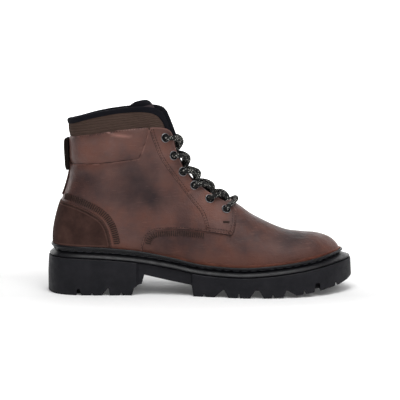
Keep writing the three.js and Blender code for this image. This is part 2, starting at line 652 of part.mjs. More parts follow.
// The midsole is a tray: the insole board lies in its recess, over the shank's pocket and the filler's.
const seat = soleSolid([overFeather(SEAT.inset, SEAT.low), overFeather(SEAT.inset, CLEAR)]);
const shankPocket = lengthwise(SHANK_POCKET)
  .intersect(soleSolid([
    overFeather(SHANK_POCKET.inset, SHANK_POCKET.low), overFeather(SHANK_POCKET.inset, CLEAR),
  ]));
function filler(gap, high) {
  const { inset, low, from, to } = FILLER;
  const levels = [overFeather(inset + gap, low + gap), overFeather(inset + gap, high)];
  return soleSolid(levels, { from: from + gap, to: to - gap, steps: 12 });
}
function midsole() {
  const body = soleSolid([
    overOutsole(1.8, 0.4), overOutsole(2.2, 1.6), overFeather(5.6, -6.6),
    overFeather(5.8, MIDSOLE_LEDGE), overFeather(9.5, MIDSOLE_LEDGE), overFeather(9.5, -0.4),
  ]);
  return main(body.subtract(seat).subtract(shankPocket).subtract(filler(0, CLEAR)));
}
function shank() {
  const { inset, low, high, from, to } = SHANK;
  return soleSolid([overFeather(inset, low), overFeather(inset, high)], { from, to })
    .intersect(lengthwise(SHANK));
}
// The welt: a strip lying on the midsole's ledge all round the foot of the upper.
function welt() {
  const levels = WELT_LEVELS.map(([inset, height]) => overFeather(inset, height));
  const foot = (x) => upperInset(x) - WELT_LAP;
  const core = [overFeather(foot, FAR_BELOW), overFeather(foot, -FAR_BELOW)];
  return soleSolid(levels, { steps: 28 }).subtract(soleSolid(core, { steps: 28 }));
}
const inSole = ({ inset, low, high }) =>
  soleSolid([overFeather(inset, low), overFeather(inset, high)], { steps: 20 });

add("outsole", outsole(), COLOUR.rubber, 0.8);
add("midsole", midsole(), COLOUR.gloss, 0.4);
add("shank", shank(), COLOUR.steel, 0.4, 1);
add("bottom_filler", filler(FILLER.gap, FILLER.high), COLOUR.cork, 0.9);
add("welt", main(welt()), COLOUR.rubber, 0.6);
add("insole_board", inSole(BOARD), COLOUR.board, 0.9);
add("footbed", main(inSole(FOOTBED).intersect(lastAt(FOOTBED.sides))), COLOUR.plastic, 0.9);

// ---- lace: one cord through all the eyelets, entering each of them from outside

// A cord with a ring at each of its stations, square to the direction given there.
class Route extends THREE.Curve {
  constructor(stations) {
    super();
    this.stations = stations;
  }
  station(u) {
    return Math.min(this.stations.length - 1, Math.round(u * (this.stations.length - 1)));
  }
  getPointAt(u) {
    return this.stations[this.station(u)].at.clone();
  }
  getTangentAt(u) {
    const i = this.station(u);
    const [before, here, after] = [this.stations[i - 1], this.stations[i], this.stations[i + 1]];
    if (here.along) return here.along.clone();
    return (after || here).at.clone().sub((before || here).at).normalize();
  }
}
function cord(stations, radius) {
  const circle = new THREE.Shape(Array.from({ length: CORD_SIDES }, (_, i) => {
    const a = (2 * Math.PI * i) / CORD_SIDES;
    return new THREE.Vector2(radius * Math.cos(a), radius * Math.sin(a));
  }));
  const extrudePath = new Route(stations);
  return facingOut(bareIndexed(new THREE.ExtrudeGeometry(circle,
    { steps: stations.length - 1, extrudePath })));
}

// A station over a flap or under it, at a distance from the middle line and a fan angle.
function surfaceStation(angle, width, side, offset) {
  return { at: offsetPoint(angle, tAtWidth(angle, width), side, offset) };
}
// Stations through an eyelet, from outside to inside: the cord comes from one point and leaves to another.
function throughEyelet(frame, from, to) {
  const { bend, above, below } = STRAND;
  const sideways = (point) => point.clone().sub(frame.at).projectOnPlane(frame.normal).normalize();
  const along = (height, shift = new THREE.Vector3()) =>
    frame.at.clone().addScaledVector(frame.normal, height).add(shift);
  const inward = frame.normal.clone().negate();
  const stations = [{ at: along(above), along: inward }, { at: along(below), along: inward }];
  if (from) {
    const out = sideways(from);
    stations.unshift({ at: along(above + bend, out.clone().multiplyScalar(bend)),
      along: out.clone().negate() });
  }
  if (to) {
    const out = sideways(to);
    stations.push({ at: along(below - bend, out.clone().multiplyScalar(bend)), along: out.clone() });
  }
  return stations;
}
// From under one flap, up through the gap and over the edge of the other flap.
function strand(from, to, fromSide, toSide, crossing) {
  const angleAt = (share) => lerp(from.angle, to.angle, share);
  return [
    surfaceStation(angleAt(0.22), STRAND.leave, fromSide, STRAND.under),
    surfaceStation(angleAt(0.5), 0.2, toSide, crossing),
    surfaceStation(angleAt(0.8), STRAND.arrive, toSide, STRAND.over),
  ];
}
function laceStations() {
  const last = EYELET_AT.length - 1;
  const other = { lateral: "medial", medial: "lateral" };
  const barAngle = eyeletFrames.lateral[last].angle;
  const bar = [
    surfaceStation(barAngle, STRAND.arrive, LATERAL, STRAND.over),
    surfaceStation(barAngle, 0.2, LATERAL, STRAND.bar),
    surfaceStation(barAngle, STRAND.arrive, MEDIAL, STRAND.over),
  ];
  const half = (start, fromBar) => {
    const stations = [];
    let side = start;
    let from = fromBar;
    for (let k = last; k >= 0; k--) {
      const frame = eyeletFrames[side][k];
      const crossing = side === "lateral" ? STRAND.high : STRAND.low;
      const next = k > 0 ? eyeletFrames[other[side]][k - 1] : null;
      const run = next ? strand(frame, next, SIDES[side], SIDES[other[side]], crossing) : [];
      stations.push(...throughEyelet(frame, from, next ? run[0].at : null), ...run);
      if (next) from = run[run.length - 1].at;
      side = other[side];
    }
    return stations;
  };
  const reversed = half("lateral", bar[0].at).reverse()
    .map(({ at, along }) => ({ at, along: along && along.clone().negate() }));
  return [...reversed, ...bar, ...half("medial", bar[2].at)];
}
add("lace", cord(laceStations(), LACE_RADIUS), COLOUR.lace, 0.9);

// The ends hang inside the shaft, beside the tongue, each with a hard tip.
for (const [name, side] of Object.entries(SIDES)) {
  const frame = eyeletFrames[name][0];
  const inside = frame.at.clone().addScaledVector(frame.normal, STRAND.below - SEAM_GAP);
  const route = TAIL_ROUTE.map(([x, y, z]) => ({ at: new THREE.Vector3(x, SHAFT_MIDDLE + side * y, z) }));
  const end = route[route.length - 1].at;
  const start = { at: inside, along: frame.normal.clone().negate() };
  add("lace_tail_" + name, cord([start, ...route], LACE_RADIUS), COLOUR.lace, 0.9);
  const tip = new THREE.CylinderGeometry(AGLET.radius, AGLET.radius, AGLET.length, 8);
  tip.rotateX(Math.PI / 2).translate(end.x, end.y, end.z - SEAM_GAP - AGLET.length / 2);
  add("aglet_" + name, facingOut(bareIndexed(tip)), COLOUR.plastic, 0.5);
}

export default boot;
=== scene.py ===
import math

import bmesh
import bpy
import numpy as np
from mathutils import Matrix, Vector, geometry


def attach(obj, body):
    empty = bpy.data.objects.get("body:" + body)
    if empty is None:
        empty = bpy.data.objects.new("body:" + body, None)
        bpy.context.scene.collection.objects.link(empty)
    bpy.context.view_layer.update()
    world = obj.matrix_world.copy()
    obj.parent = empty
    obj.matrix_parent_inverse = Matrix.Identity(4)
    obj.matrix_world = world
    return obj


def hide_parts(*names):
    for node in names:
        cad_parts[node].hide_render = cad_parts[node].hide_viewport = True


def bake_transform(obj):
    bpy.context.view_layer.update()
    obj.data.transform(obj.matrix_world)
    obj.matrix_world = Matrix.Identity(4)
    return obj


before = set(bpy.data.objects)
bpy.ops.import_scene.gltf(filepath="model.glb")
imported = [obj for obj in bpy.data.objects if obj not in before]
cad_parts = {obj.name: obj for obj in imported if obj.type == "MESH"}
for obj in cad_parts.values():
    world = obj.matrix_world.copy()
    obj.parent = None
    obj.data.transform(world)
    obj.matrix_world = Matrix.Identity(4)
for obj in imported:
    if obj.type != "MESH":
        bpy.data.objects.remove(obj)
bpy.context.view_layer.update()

# ---------------------------------------- dimensions, in millimetres as in the CAD

MM = 0.001
LATERAL, MEDIAL = -1, 1
SIDES = {"lateral": LATERAL, "medial": MEDIAL}
HEEL_TIP, TOE_TIP = -147.0, 142.0
BELOW_FEATHER = 17.0
SHAFT_MIDDLE = -1.5
FLAP_HALF_GAP = 14.0
PIVOT_X, PIVOT_Z = 190.0, 200.0

SOLE_OUTLINE = [
    (-152.5, 0), (-149, -17), (-140, -29), (-122, -36.5), (-95, -38), (-60, -37.5), (-25, -39),
    (10, -46), (42, -52.5), (70, -53.2), (97, -49), (122, -38), (140, -22), (150, -7), (152.5, 5),
    (150, 18), (141, 32), (125, 43.5), (100, 51), (70, 53.5), (42, 50), (12, 43), (-20, 36.5),
    (-60, 34.5), (-95, 36), (-122, 35), (-140, 28), (-149, 16.5),
]
UPPER_INSET = [(-153, 5.5), (-60, 7.5), (60, 8), (120, 9.5), (153, 10.5)]
FEATHER = [
    (-156, 48), (-100, 46.5), (-60, 43), (-27, 37.5), (0, 32.5), (35, 30.5), (65, 32), (100, 36),
    (125, 40), (142, 42.5), (156, 44),
]
FRONT_LINE = [
    (-37, 200), (-31, 183), (-25.5, 170), (-20, 156), (-16, 143), (-9, 129), (2, 115), (16, 103),
    (34, 90), (60, 73), (84, 62), (102, 59), (118, 57.5), (131, 53), (139, 46), (142, 38), (142, 24),
]
BACK_LINE = [
    (-136, 200), (-132, 172), (-128.5, 150), (-128, 137), (-129.5, 121), (-133.5, 105), (-139, 90),
    (-143.5, 75), (-146.3, 61), (-147, 48), (-147, 31),
]
SECTION_SHAPE = [
    (0, 1.2, 0.36, 2.3), (6, 1.17, 0.34, 2.3), (12, 1.12, 0.32, 2.3), (18, 1.08, 0.3, 2.3),
    (24, 1.06, 0.22, 2.2), (34, 1.05, 0.05, 2.1), (46, 1.04, 0, 2.1), (56, 1.03, 0, 2.2),
    (66, 1.02, 0, 2.3), (76, 1.01, 0, 2.4),
]

# Seams in the side view.
ANKLE_SEAM = [(-150, 127), (-124, 128), (-96, 129.5), (-60, 133.5)]
ANKLE_FRONT_SEAM = [(-60, 133.5), (-56.5, 140), (-52.5, 152), (-50.5, 158.5)]
EYESTAY_SEAM = [
    (-49, 163.7), (-48, 158), (-45, 149), (-38, 132), (-25, 113), (-10, 93), (0, 81), (4.5, 70),
    (5.5, 62.8),
]
HEM_BACK = [
    (-57, 32), (-56.3, 46), (-53, 56.5), (-46.4, 62.3), (-38, 63.8), (-19, 64.8), (-2, 63.6),
    (5.5, 62.8),
]
HEM_FRONT = [(5.5, 62.8), (11.5, 61.9), (24, 60.2), (30.2, 58.6)]
THROAT_EDGE = [(30.2, 58.6), (32, 60.6), (33.6, 64.8), (35.1, 71), (36, 82)]
FLAP_CORNER = [(-28.5, 159.3), (-32, 162), (-38, 163.6), (-44, 164)]
BAR_TACK = [(22.5, 71.4), (29, 71.2)]
# Edges that lie under the next piece, and the edges of the backing and the lining.
UNDER_HEM = [
    (-64, 34), (-63, 47), (-59, 60), (-48, 68), (-22, 70.5), (5, 69), (18, 68), (24, 72), (27, 79),
]
UNDER_EYESTAY = [(9, 63), (9.5, 71), (5, 83), (-5, 96), (-20, 115), (-33, 133), (-41, 150), (-46, 160)]
UNDER_ANKLE = [
    (-150, 122.5), (-124, 123.5), (-96, 125), (-60, 129), (-54, 134), (-50, 146), (-46.5, 156),
    (-46, 163.6),
]
BACKING_EDGE = [
    (-46, 160), (-40, 135), (-27, 113), (-12, 94), (-2, 82), (4, 66), (24, 62), (31, 70), (34, 84),
]
LINING_FRONT = [(8, 60), (3, 78), (-24, 110), (-38, 132), (-45, 150), (-48, 162), (-48, 177)]
LINING_LOW = [(-150, 49), (-100, 48), (-60, 45), (-27, 40), (0, 35), (20, 34)]
BINDING_RINGS, BINDING_FILL = 90, 0.7
BINDING_THICK, BINDING_SET_IN = 3.7, 3.8  # half its thickness, and its middle's depth under the surface
LEATHER_TOP = [
    (-150, 152), (-124, 155), (-106, 157.5), (-87, 160.5), (-67, 163), (-48, 164), (-38, 163.6),
]
BINDING_LOW = [
    (-150, 163), (-125, 166.5), (-106, 171.5), (-87, 175.5), (-64, 178), (-50, 177.3), (-42, 174.5),
    (-37, 169.5), (-33.5, 163), (-31.5, 158), (-30.5, 153),
]
BINDING_TOP = [
    (-150, 169.5), (-127, 172), (-106, 177), (-87, 180.5), (-68, 183), (-52, 183.6), (-42, 182),
    (-35, 178),
]
BINDING_TOP_MEDIAL = BINDING_TOP[:5] + [(-52, 184.2), (-42, 184), (-35.5, 182.3)]
BINDING_HALF_GAP = {LATERAL: FLAP_HALF_GAP + 0.3, MEDIAL: FLAP_HALF_GAP - 4.5}
COUNTER_TOP = [
    (-160, 93), (-136, 91), (-121, 88), (-107, 82), (-96, 74.5), (-90, 65), (-87, 54), (-85.5, 44),
    (-85, 36),
]

EYELET_AT = [(-34, 153), (-26, 135.5), (-17, 119.5), (-5.5, 106), (9.5, 93), (25.5, 83)]
EYELET_HOLE = 3.7
LACE_RADIUS = 2.2
LACE_SHOWN_RADIUS = 2.4  # the braid stands a little proud of the CAD's cord
STRAND = dict(bend=2.4, above=1.1, below=-3.5, under=-6.1, over=3.1, leave=8.8, arrive=12.3,
              high=-1.2, low=-6.2, bar=2.2)
TAIL_ROUTE = [
    (-43.5, 15.7, 150.5), (-48, 13.4, 147), (-51, 13, 140), (-52, 13, 123), (-52, 13, 105),
    (-52, 13, 86),
]

WELT_DROP = 2.4  # how far the bead of the welt lies under the feather line

# Outer surface of each layer over the upper's surface, and the layer's thickness.
LEVEL = dict(vamp=-1.4, quarter=-0.5, eyestay=0.3, ankle=-0.8, collar=-1.6, counter=0.5, backstay=1.2,
             backing=-2.0, lining=-6.7)
THICKNESS = dict(vamp=1.3, quarter=1.4, eyestay=2.2, ankle=1.4, collar=1.2, counter=1.1, backstay=1.5,
                 backing=1.0, lining=0.9)
BACKSTAY_HALF_WIDE = 7.5

# ---------------------------------------- camera and light

CAMERA_AT = Vector((0.0, -1.15, 0.23))
CAMERA_PITCH = math.radians(6.97)
FOCAL_PIXELS, FRAME_PIXELS, SENSOR = 1158.6, 400, 36.0
LAMPS = [  # name, place, aim, size, power
    ("top", (0.0, -0.35, 1.5), (0, 0, 0.1), 0.8, 9),
    ("front", (0.9, -1.3, 0.9), (0.05, 0, 0.1), 0.9, 4),
    ("back", (-0.1, 1.5, 0.5), (0, 0, 0.02), 0.9, 4),
]
SUN_POWER, SUN_SPREAD, SUN_TILT = 1.25, 70, (18, 8)
SKY_GLOW = (0.0, 0.75, 0.16, 0.8)  # from and to height, and the strength there

camera = bpy.data.objects.new("camera", bpy.data.cameras.new("camera"))
camera.data.sensor_width = SENSOR
camera.data.lens = SENSOR * FOCAL_PIXELS / FRAME_PIXELS
camera.location = CAMERA_AT
camera.rotation_euler = (math.pi / 2 - CAMERA_PITCH, 0, 0)
bpy.context.scene.collection.objects.link(camera)
bpy.context.scene.camera = camera
bpy.context.scene.view_settings.view_transform = "Standard"


def area_light(name, at, aim, size, power):
    lamp = bpy.data.objects.new(name, bpy.data.lights.new(name, "AREA"))
    lamp.data.shape = "DISK"
    lamp.data.size = size
    lamp.data.energy = power
    lamp.location = at
    lamp.rotation_euler = (Vector(aim) - Vector(at)).to_track_quat("-Z", "Y").to_euler()
    bpy.context.scene.collection.objects.link(lamp)


for lamp in LAMPS:
    area_light(*lamp)
sun = bpy.data.objects.new("sky", bpy.data.lights.new("sky", "SUN"))
sun.data.energy = SUN_POWER
sun.data.angle = math.radians(SUN_SPREAD)
sun.rotation_euler = (*np.radians(SUN_TILT), 0)
bpy.context.scene.collection.objects.link(sun)
world = bpy.data.worlds.new("studio")
world.use_nodes = True
nodes, links = world.node_tree.nodes, world.node_tree.links
height = nodes.new("ShaderNodeSeparateXYZ")
links.new(nodes.new("ShaderNodeTexCoord").outputs["Generated"], height.inputs[0])
glow = nodes.new("ShaderNodeMapRange")
for socket, value in zip(("From Min", "From Max", "To Min", "To Max"), SKY_GLOW):
    glow.inputs[socket].default_value = value
links.new(height.outputs["Z"], glow.inputs["Value"])
links.new(glow.outputs["Result"], nodes["Background"].inputs["Strength"])
bpy.context.scene.world = world

# ---------------------------------------- curves and tables


def smooth(points, steps):
    """A smooth line through points, with the given number of pieces between two of them."""
    p = np.array(points, float)
    n = len(p)
    out = []
    for i in range(n - 1):
        a, b, c, d = p[max(i - 1, 0)], p[i], p[i + 1], p[min(i + 2, n - 1)]
        for k in range(steps):
            u = k / steps
            v0, v1 = (c - a) / 2, (d - b) / 2
            cubic, square = 2 * b - 2 * c + v0 + v1, -3 * b + 3 * c - 2 * v0 - v1
            out.append(cubic * u**3 + square * u**2 + v0 * u + b)
    out.append(p[-1])
    return np.array(out)


def table(rows, column=1, steps=8):
    fine = smooth(rows, steps)
    order = np.argsort(fine[:, 0], kind="stable")
    xs, ys = fine[order, 0], fine[order, column]
    return lambda x: np.interp(x, xs, ys)


def between(line, low, high=TOE_TIP):
    """The points of a side-view line whose x lies between low and high."""
    return line[(line[:, 0] > low) & (line[:, 0] < high)]


def length_of(line):
    return np.concatenate([[0], np.cumsum(np.linalg.norm(np.diff(line, axis=0), axis=1))])


def resample(line, count):
    """The same line with evenly spaced points."""
    line = np.asarray(line, float)
    along = length_of(line)
    at = np.linspace(0, along[-1], count)
    return np.stack([np.interp(at, along, line[:, k]) for k in range(line.shape[1])], 1)


def unit(v):
    return v / np.maximum(np.linalg.norm(v, axis=-1, keepdims=True), 1e-12)


feather = table(FEATHER, steps=12)
upper_inset = table(UPPER_INSET, steps=1)


def ease(x, low, high):
    share = np.clip((x - low) / (high - low), 0, 1)
    return share * share * (3 - 2 * share)


def at_toe(x):
    """The welt steps back from the sole's edge round the toe."""
    return 5.2 * ease(x, 112, 150)


def bead_radius(x):
    return 1.55 - 0.4 * ease(x, -60, 20)


def bead_height(x):
    return -1.3 - 1.5 * ease(x, -70, 10)


closed = np.array(SOLE_OUTLINE[-1:] + SOLE_OUTLINE + SOLE_OUTLINE[:2], float)
OUTLINE = smooth(closed, 16)[16:-17]
OUTLINE_WAY = np.roll(OUTLINE, -1, 0) - np.roll(OUTLINE, 1, 0)
OUTLINE_OUT = unit(np.stack([OUTLINE_WAY[:, 1], -OUTLINE_WAY[:, 0]], 1))
HEEL_INDEX, TOE_INDEX = int(OUTLINE[:, 0].argmin()), int(OUTLINE[:, 0].argmax())


def inset_outline(inset):
    amount = inset(OUTLINE[:, 0]) if callable(inset) else inset
    return OUTLINE - OUTLINE_OUT * np.reshape(amount * np.ones(len(OUTLINE)), (-1, 1))


foot = np.roll(inset_outline(upper_inset), -HEEL_INDEX, 0)
turn = (TOE_INDEX - HEEL_INDEX) % len(OUTLINE)
lateral_side, medial_side = foot[: turn + 1], np.vstack([foot[turn:], foot[:1]])[::-1]


def footprint(x):
    """Half-width and middle of the upper's footprint."""
    x = np.clip(x, foot[:, 0].min(), foot[:, 0].max())
    low = np.interp(x, lateral_side[:, 0], lateral_side[:, 1])
    high = np.interp(x, medial_side[:, 0], medial_side[:, 1])
    return np.maximum(0, (high - low) / 2), (high + low) / 2


# ---------------------------------------- the upper's surface, as in the CAD


def to_fan(points):
    x, z = np.asarray(points, float).T
    angle = np.degrees(np.arctan2(PIVOT_Z - z, PIVOT_X - x))
    radius = np.hypot(PIVOT_X - x, PIVOT_Z - z)
    order = np.argsort(angle)
    return angle[order], radius[order]


front_fan = to_fan(smooth(FRONT_LINE, 16))
back_fan = to_fan(smooth(BACK_LINE, 16))
bottom_x = np.linspace(HEEL_TIP, TOE_TIP, 200)
bottom_fan = to_fan(np.stack([bottom_x, feather(bottom_x) - BELOW_FEATHER], 1))
CORNER = bottom_fan[0][0]
shape_factor, shape_full, shape_round = (table(SECTION_SHAPE, c) for c in (1, 2, 3))


def reach(angle):
    """Front and rear radius of the section at a fan angle."""
    rear = np.where(angle < CORNER, np.interp(angle, *back_fan), np.interp(angle, *bottom_fan))
    return np.interp(angle, *front_fan), rear


def upper(angle, t, side):
    """Points of the upper's outer surface, t = 0 at the back or bottom and 1 at the front."""
    angle, t, side = np.broadcast_arrays(np.asarray(angle, float), t, side)
    share = (1 - np.cos(np.pi * t)) / 2
    front, rear = reach(angle)
    radius = rear + (front - rear) * share
    x = PIVOT_X - radius * np.cos(np.radians(angle))
    z = PIVOT_Z - radius * np.sin(np.radians(angle))
    rear_x = PIVOT_X - rear * np.cos(np.radians(angle))
    half, middle = footprint(x + np.where(angle < CORNER, HEEL_TIP - rear_x, 0))
    hidden = np.where(angle < CORNER, 0, BELOW_FEATHER / (rear - front))
    full = hidden + (1 - hidden) * np.maximum(0, shape_full(angle))
    climb = np.maximum(0, (share - full) / (1 - full))
    wide = 1 + (shape_factor(angle) - 1) * np.clip((share - hidden) * 3, 0, 1)
    closing = np.sqrt(np.maximum(0, 1 - climb ** shape_round(angle)))
    return np.stack([x, middle + side * half * wide * closing, z], -1)


def upper_normal(angle, t, side):
    angle, t, side = np.broadcast_arrays(np.asarray(angle, float), t, side)
    low, high = np.maximum(0, t - 0.02), np.minimum(1, t + 0.02)
    across = upper(angle, high, side) - upper(angle, low, side)
    along = upper(angle + 0.6, t, side) - upper(angle - 0.6, t, side)
    normal = np.cross(across, along) * side[..., None]
    centred = (t > 0.999) | ((t < 0.001) & (angle < CORNER))
    normal[..., 1] = np.where(centred, 0, normal[..., 1])
    return unit(normal)


def raised(angle, t, side, offset):
    height = np.reshape(offset, np.shape(offset) + (1,))
    return upper(angle, t, side) + upper_normal(angle, t, side) * height


def surface_at(points):
    """Fan angle and t of what the side view shows at x, z."""
    x, z = np.asarray(points, float).T
    angle = np.degrees(np.arctan2(PIVOT_Z - z, PIVOT_X - x))
    front, rear = reach(angle)
    share = np.clip((rear - np.hypot(PIVOT_X - x, PIVOT_Z - z)) / (rear - front), 0, 1)
    return angle, np.arccos(1 - 2 * share) / np.pi


def angle_at(x, z):
    return surface_at([(x, z)])[0][0]


def t_at_width(angle, width, at_back=False):
    """t where the section's half-width is width, near the front or near the back."""
    angle, width = np.broadcast_arrays(np.asarray(angle, float), width)
    low = np.full(angle.shape, 0.0 if at_back else 0.5)
    high = low + 0.5
    for _ in range(30):
        middle = (low + high) / 2
        half = (upper(angle, middle, 1)[..., 1] - upper(angle, middle, -1)[..., 1]) / 2
        go_up = (half < width) if at_back else (half > width)
        low, high = np.where(go_up, middle, low), np.where(go_up, high, middle)
    return (low + high) / 2


# ---------------------------------------- materials


RANGE_SOCKETS = ("Value", "From Min", "From Max", "To Min", "To Max")


class Look:
    """A material under construction."""

    def __init__(self, name, color=(0.5, 0.5, 0.5), roughness=0.6, metallic=0.0, **sockets):
        self.material = bpy.data.materials.new(name)
        self.material.use_nodes = True
        self.tree = self.material.node_tree
        self.shader = self.tree.nodes["Principled BSDF"]
        self.shader.inputs["Base Color"].default_value = (*color, 1)
        self.shader.inputs["Roughness"].default_value = roughness
        self.shader.inputs["Metallic"].default_value = metallic
        for key, value in sockets.items():
            self.shader.inputs[key.replace("_", " ")].default_value = value
        self.place = self.node("ShaderNodeTexCoord").outputs["Object"]

    def node(self, kind, inputs=(), **settings):
        made = self.tree.nodes.new(kind)
        for key, value in settings.items():
            setattr(made, key, value)
        for key, value in dict(inputs).items():
            self.feed(made.inputs[key], value)
        return made

    def feed(self, socket, value):
        if isinstance(value, bpy.types.NodeSocket):
            self.tree.links.new(value, socket)
        else:
            socket.default_value = value

    def to(self, socket, value):
        self.tree.links.new(value, self.shader.inputs[socket])

    def noise(self, scale, detail=3.0, rough=0.5, place=None):
        inputs = {"Vector": place or self.place, "Scale": scale, "Detail": detail, "Roughness": rough}
        return self.node("ShaderNodeTexNoise", inputs).outputs["Fac"]

    def cells(self, scale):
        inputs = {"Vector": self.place, "Scale": scale}
        return self.node("ShaderNodeTexVoronoi", inputs, feature="F1").outputs["Distance"]

    def wave(self, scale, axis, place=None):
        inputs = {"Vector": place or self.place, "Scale": scale, "Distortion": 0.0}
        return self.node("ShaderNodeTexWave", inputs, bands_direction=axis).outputs["Fac"]

    def span(self, value, low, high, out_low=0.0, out_high=1.0):
        inputs = dict(zip(RANGE_SOCKETS, (value, low, high, out_low, out_high)))
        return self.node("ShaderNodeMapRange", inputs).outputs["Result"]

    def mix(self, factor, a, b):
        made = self.node("ShaderNodeMix", data_type="RGBA", blend_type="MIX")
        self.feed(made.inputs[0], factor)
        for socket, value in ((made.inputs[6], a), (made.inputs[7], b)):
            self.feed(socket, (*value, 1) if isinstance(value, tuple) else value)
        return made.outputs[2]

    def math(self, operation, a, b=0.0):
        made = self.node("ShaderNodeMath", operation=operation)
        self.feed(made.inputs[0], a)
        self.feed(made.inputs[1], b)
        return made.outputs[0]

    def plus(self, a, b):
        return self.math("ADD", a, b)

    def times(self, a, b):
        return self.math("MULTIPLY", a, b)

    def off(self, value, middle):
        """Distance of a value from a middle value."""
        return self.math("ABSOLUTE", self.math("SUBTRACT", value, middle))

    def attribute(self, name, output="Fac"):
        return self.node("ShaderNodeAttribute", attribute_name=name).outputs[output]

    def bump(self, *layers):
        """Layers of (height, distance in metres), the last one on top."""
        normal = None
        for height, distance in layers:
            inputs = {"Height": height, "Distance": distance, "Strength": 1.0}
            if normal is not None:
                inputs["Normal"] = normal
            normal = self.node("ShaderNodeBump", inputs).outputs["Normal"]
        self.to("Normal", normal)


def tint(color, factor):
    return tuple(channel * factor for channel in color)


def leather_look(name, dark, mid, warm, roughness):
    """Pull-up leather: cloudy colour, warm above the welt, dark cut edges and pale scratches, with
    painted highlight and painted shade from the tone attribute, and a painted highlight along the ankle
    crease and just inside the cut edges.
    """
    look = Look(name, Specular_IOR_Level=0.22)
    clouds = look.span(look.noise(24, 4, 0.55), 0.32, 0.7)
    # The tone attribute carries the pull-up colour and also painted highlight and painted shade.
    tone = look.attribute("tone")
    shade = look.plus(look.times(clouds, 0.55), look.span(tone, -1, 1, -0.5, 0.73))
    base = look.mix(look.span(shade, 0, 1), dark, mid)
    patches = look.span(look.noise(52, 3, 0.6), 0.4, 0.66)
    base = look.mix(look.times(patches, look.span(tone, -0.4, 0.6, 0.1, 0.75)), base, warm)
    low = look.attribute("low")
    glow = look.times(look.span(low, 0.3, 1.0), look.span(look.noise(30, 3), 0.3, 0.6, 0.3, 0.8))
    base = look.mix(glow, base, warm)
    rim = look.times(look.span(low, 0.86, 0.94), look.span(look.noise(70, 2), 0.3, 0.6, 0.35, 1.0))
    base = look.mix(rim, base, tint(warm, 1.6))
    # A painted highlight along the ankle crease, carried by the crease attribute.
    crease_highlight = look.times(look.attribute("crease"), 0.8)
    edge = look.attribute("edge")
    # A painted highlight in a thin band just inside the cut edges, beside the dark edge line.
    lit = look.times(look.span(edge, 0.7, 2.2, 0.4, 0.0), look.span(look.noise(160, 2), 0.35, 0.6))
    base = look.mix(look.math("MAXIMUM", crease_highlight, lit), base, tint(mid, 2.3))
    base = look.mix(look.span(edge, 0.35, 0.75, 0.9, 0.0), base, tint(dark, 0.3))
    scratches = look.node("ShaderNodeMapping", {
        "Vector": look.place, "Scale": (90, 90, 900), "Rotation": (0.3, 0.9, 0.2)})
    marks = look.span(look.noise(1, 3, 0.6, scratches.outputs[0]), 0.6, 0.72, 0.0, 0.2)
    base = look.mix(marks, base, tint(mid, 1.7))
    look.to("Base Color", base)
    grain = look.cells(820)
    pores = look.noise(2600, 2)
    look.to("Roughness", look.span(look.noise(60, 3), 0.3, 0.7, roughness - 0.08, roughness + 0.12))
    look.bump((look.noise(130, 3), 0.0007), (grain, 0.00018), (pores, 0.00006))
    return look.material


def nubuck_look(name, color, pale):
    look = Look(name, roughness=0.92, Specular_IOR_Level=0.1)
    shade = look.span(look.noise(55, 4, 0.6), 0.3, 0.7)
    edge = look.attribute("edge")
    lines = [look.span(look.off(edge, at), 0.35, 0.8, 0.5, 0.0) for at in (0.9, 3.6)]
    base = look.mix(look.math("MAXIMUM", *lines), look.mix(shade, color, pale), tint(pale, 1.8))
    look.to("Base Color", base)
    look.bump((look.noise(300, 3), 0.0003), (look.noise(2400, 2), 0.00012))
    return look.material


def cloth_look(name, color, pale, pitch=1.0, ribs=None):
    """Woven cloth; ribs is the pitch in millimetres of ribs that run around the shaft."""
    look = Look(name, roughness=0.95, Specular_IOR_Level=0.1)
    scale = 1000 / (pitch * 2 * math.pi) * 2
    threads = look.times(look.wave(scale, "X"), look.wave(scale, "Z"))
    fuzz = look.noise(1800, 2)
    tone = look.plus(look.times(threads, 0.6), look.times(look.noise(40, 3), 0.6))
    layers = [(threads, pitch * 0.00012), (fuzz, 0.0001)]
    if ribs:
        rib = look.wave(1000 / (ribs * 2 * math.pi) * 2, "Z", look.attribute("weave", "Vector"))
        tone = look.plus(look.times(tone, 0.75), look.times(rib, 0.25))
        layers.insert(0, (rib, 0.0004))
    look.to("Base Color", look.mix(look.span(tone, 0.1, 1.0), color, pale))
    look.bump(*layers)
    return look.material


def rubber_look(name, color, pale, roughness, shine=0.2):
    look = Look(name, Specular_IOR_Level=shine)
    dust = look.span(look.noise(70, 4, 0.6), 0.35, 0.75)
    look.to("Base Color", look.mix(dust, color, pale))
    look.to("Roughness", look.span(look.noise(180, 3), 0.3, 0.7, roughness - 0.07, roughness + 0.09))
    look.bump((look.noise(2200, 2), 0.00008), (look.noise(320, 2), 0.00008))
    return look.material


def metal_look(name, color, roughness):
    look = Look(name, metallic=1.0)
    look.to("Base Color", look.mix(look.span(look.noise(900, 3), 0.4, 0.7), color, tint(color, 1.8)))
    look.to("Roughness", look.span(look.noise(1500, 3), 0.3, 0.7, roughness - 0.08, roughness + 0.12))
    look.bump((look.noise(2600, 2), 0.00003))
    return look.material


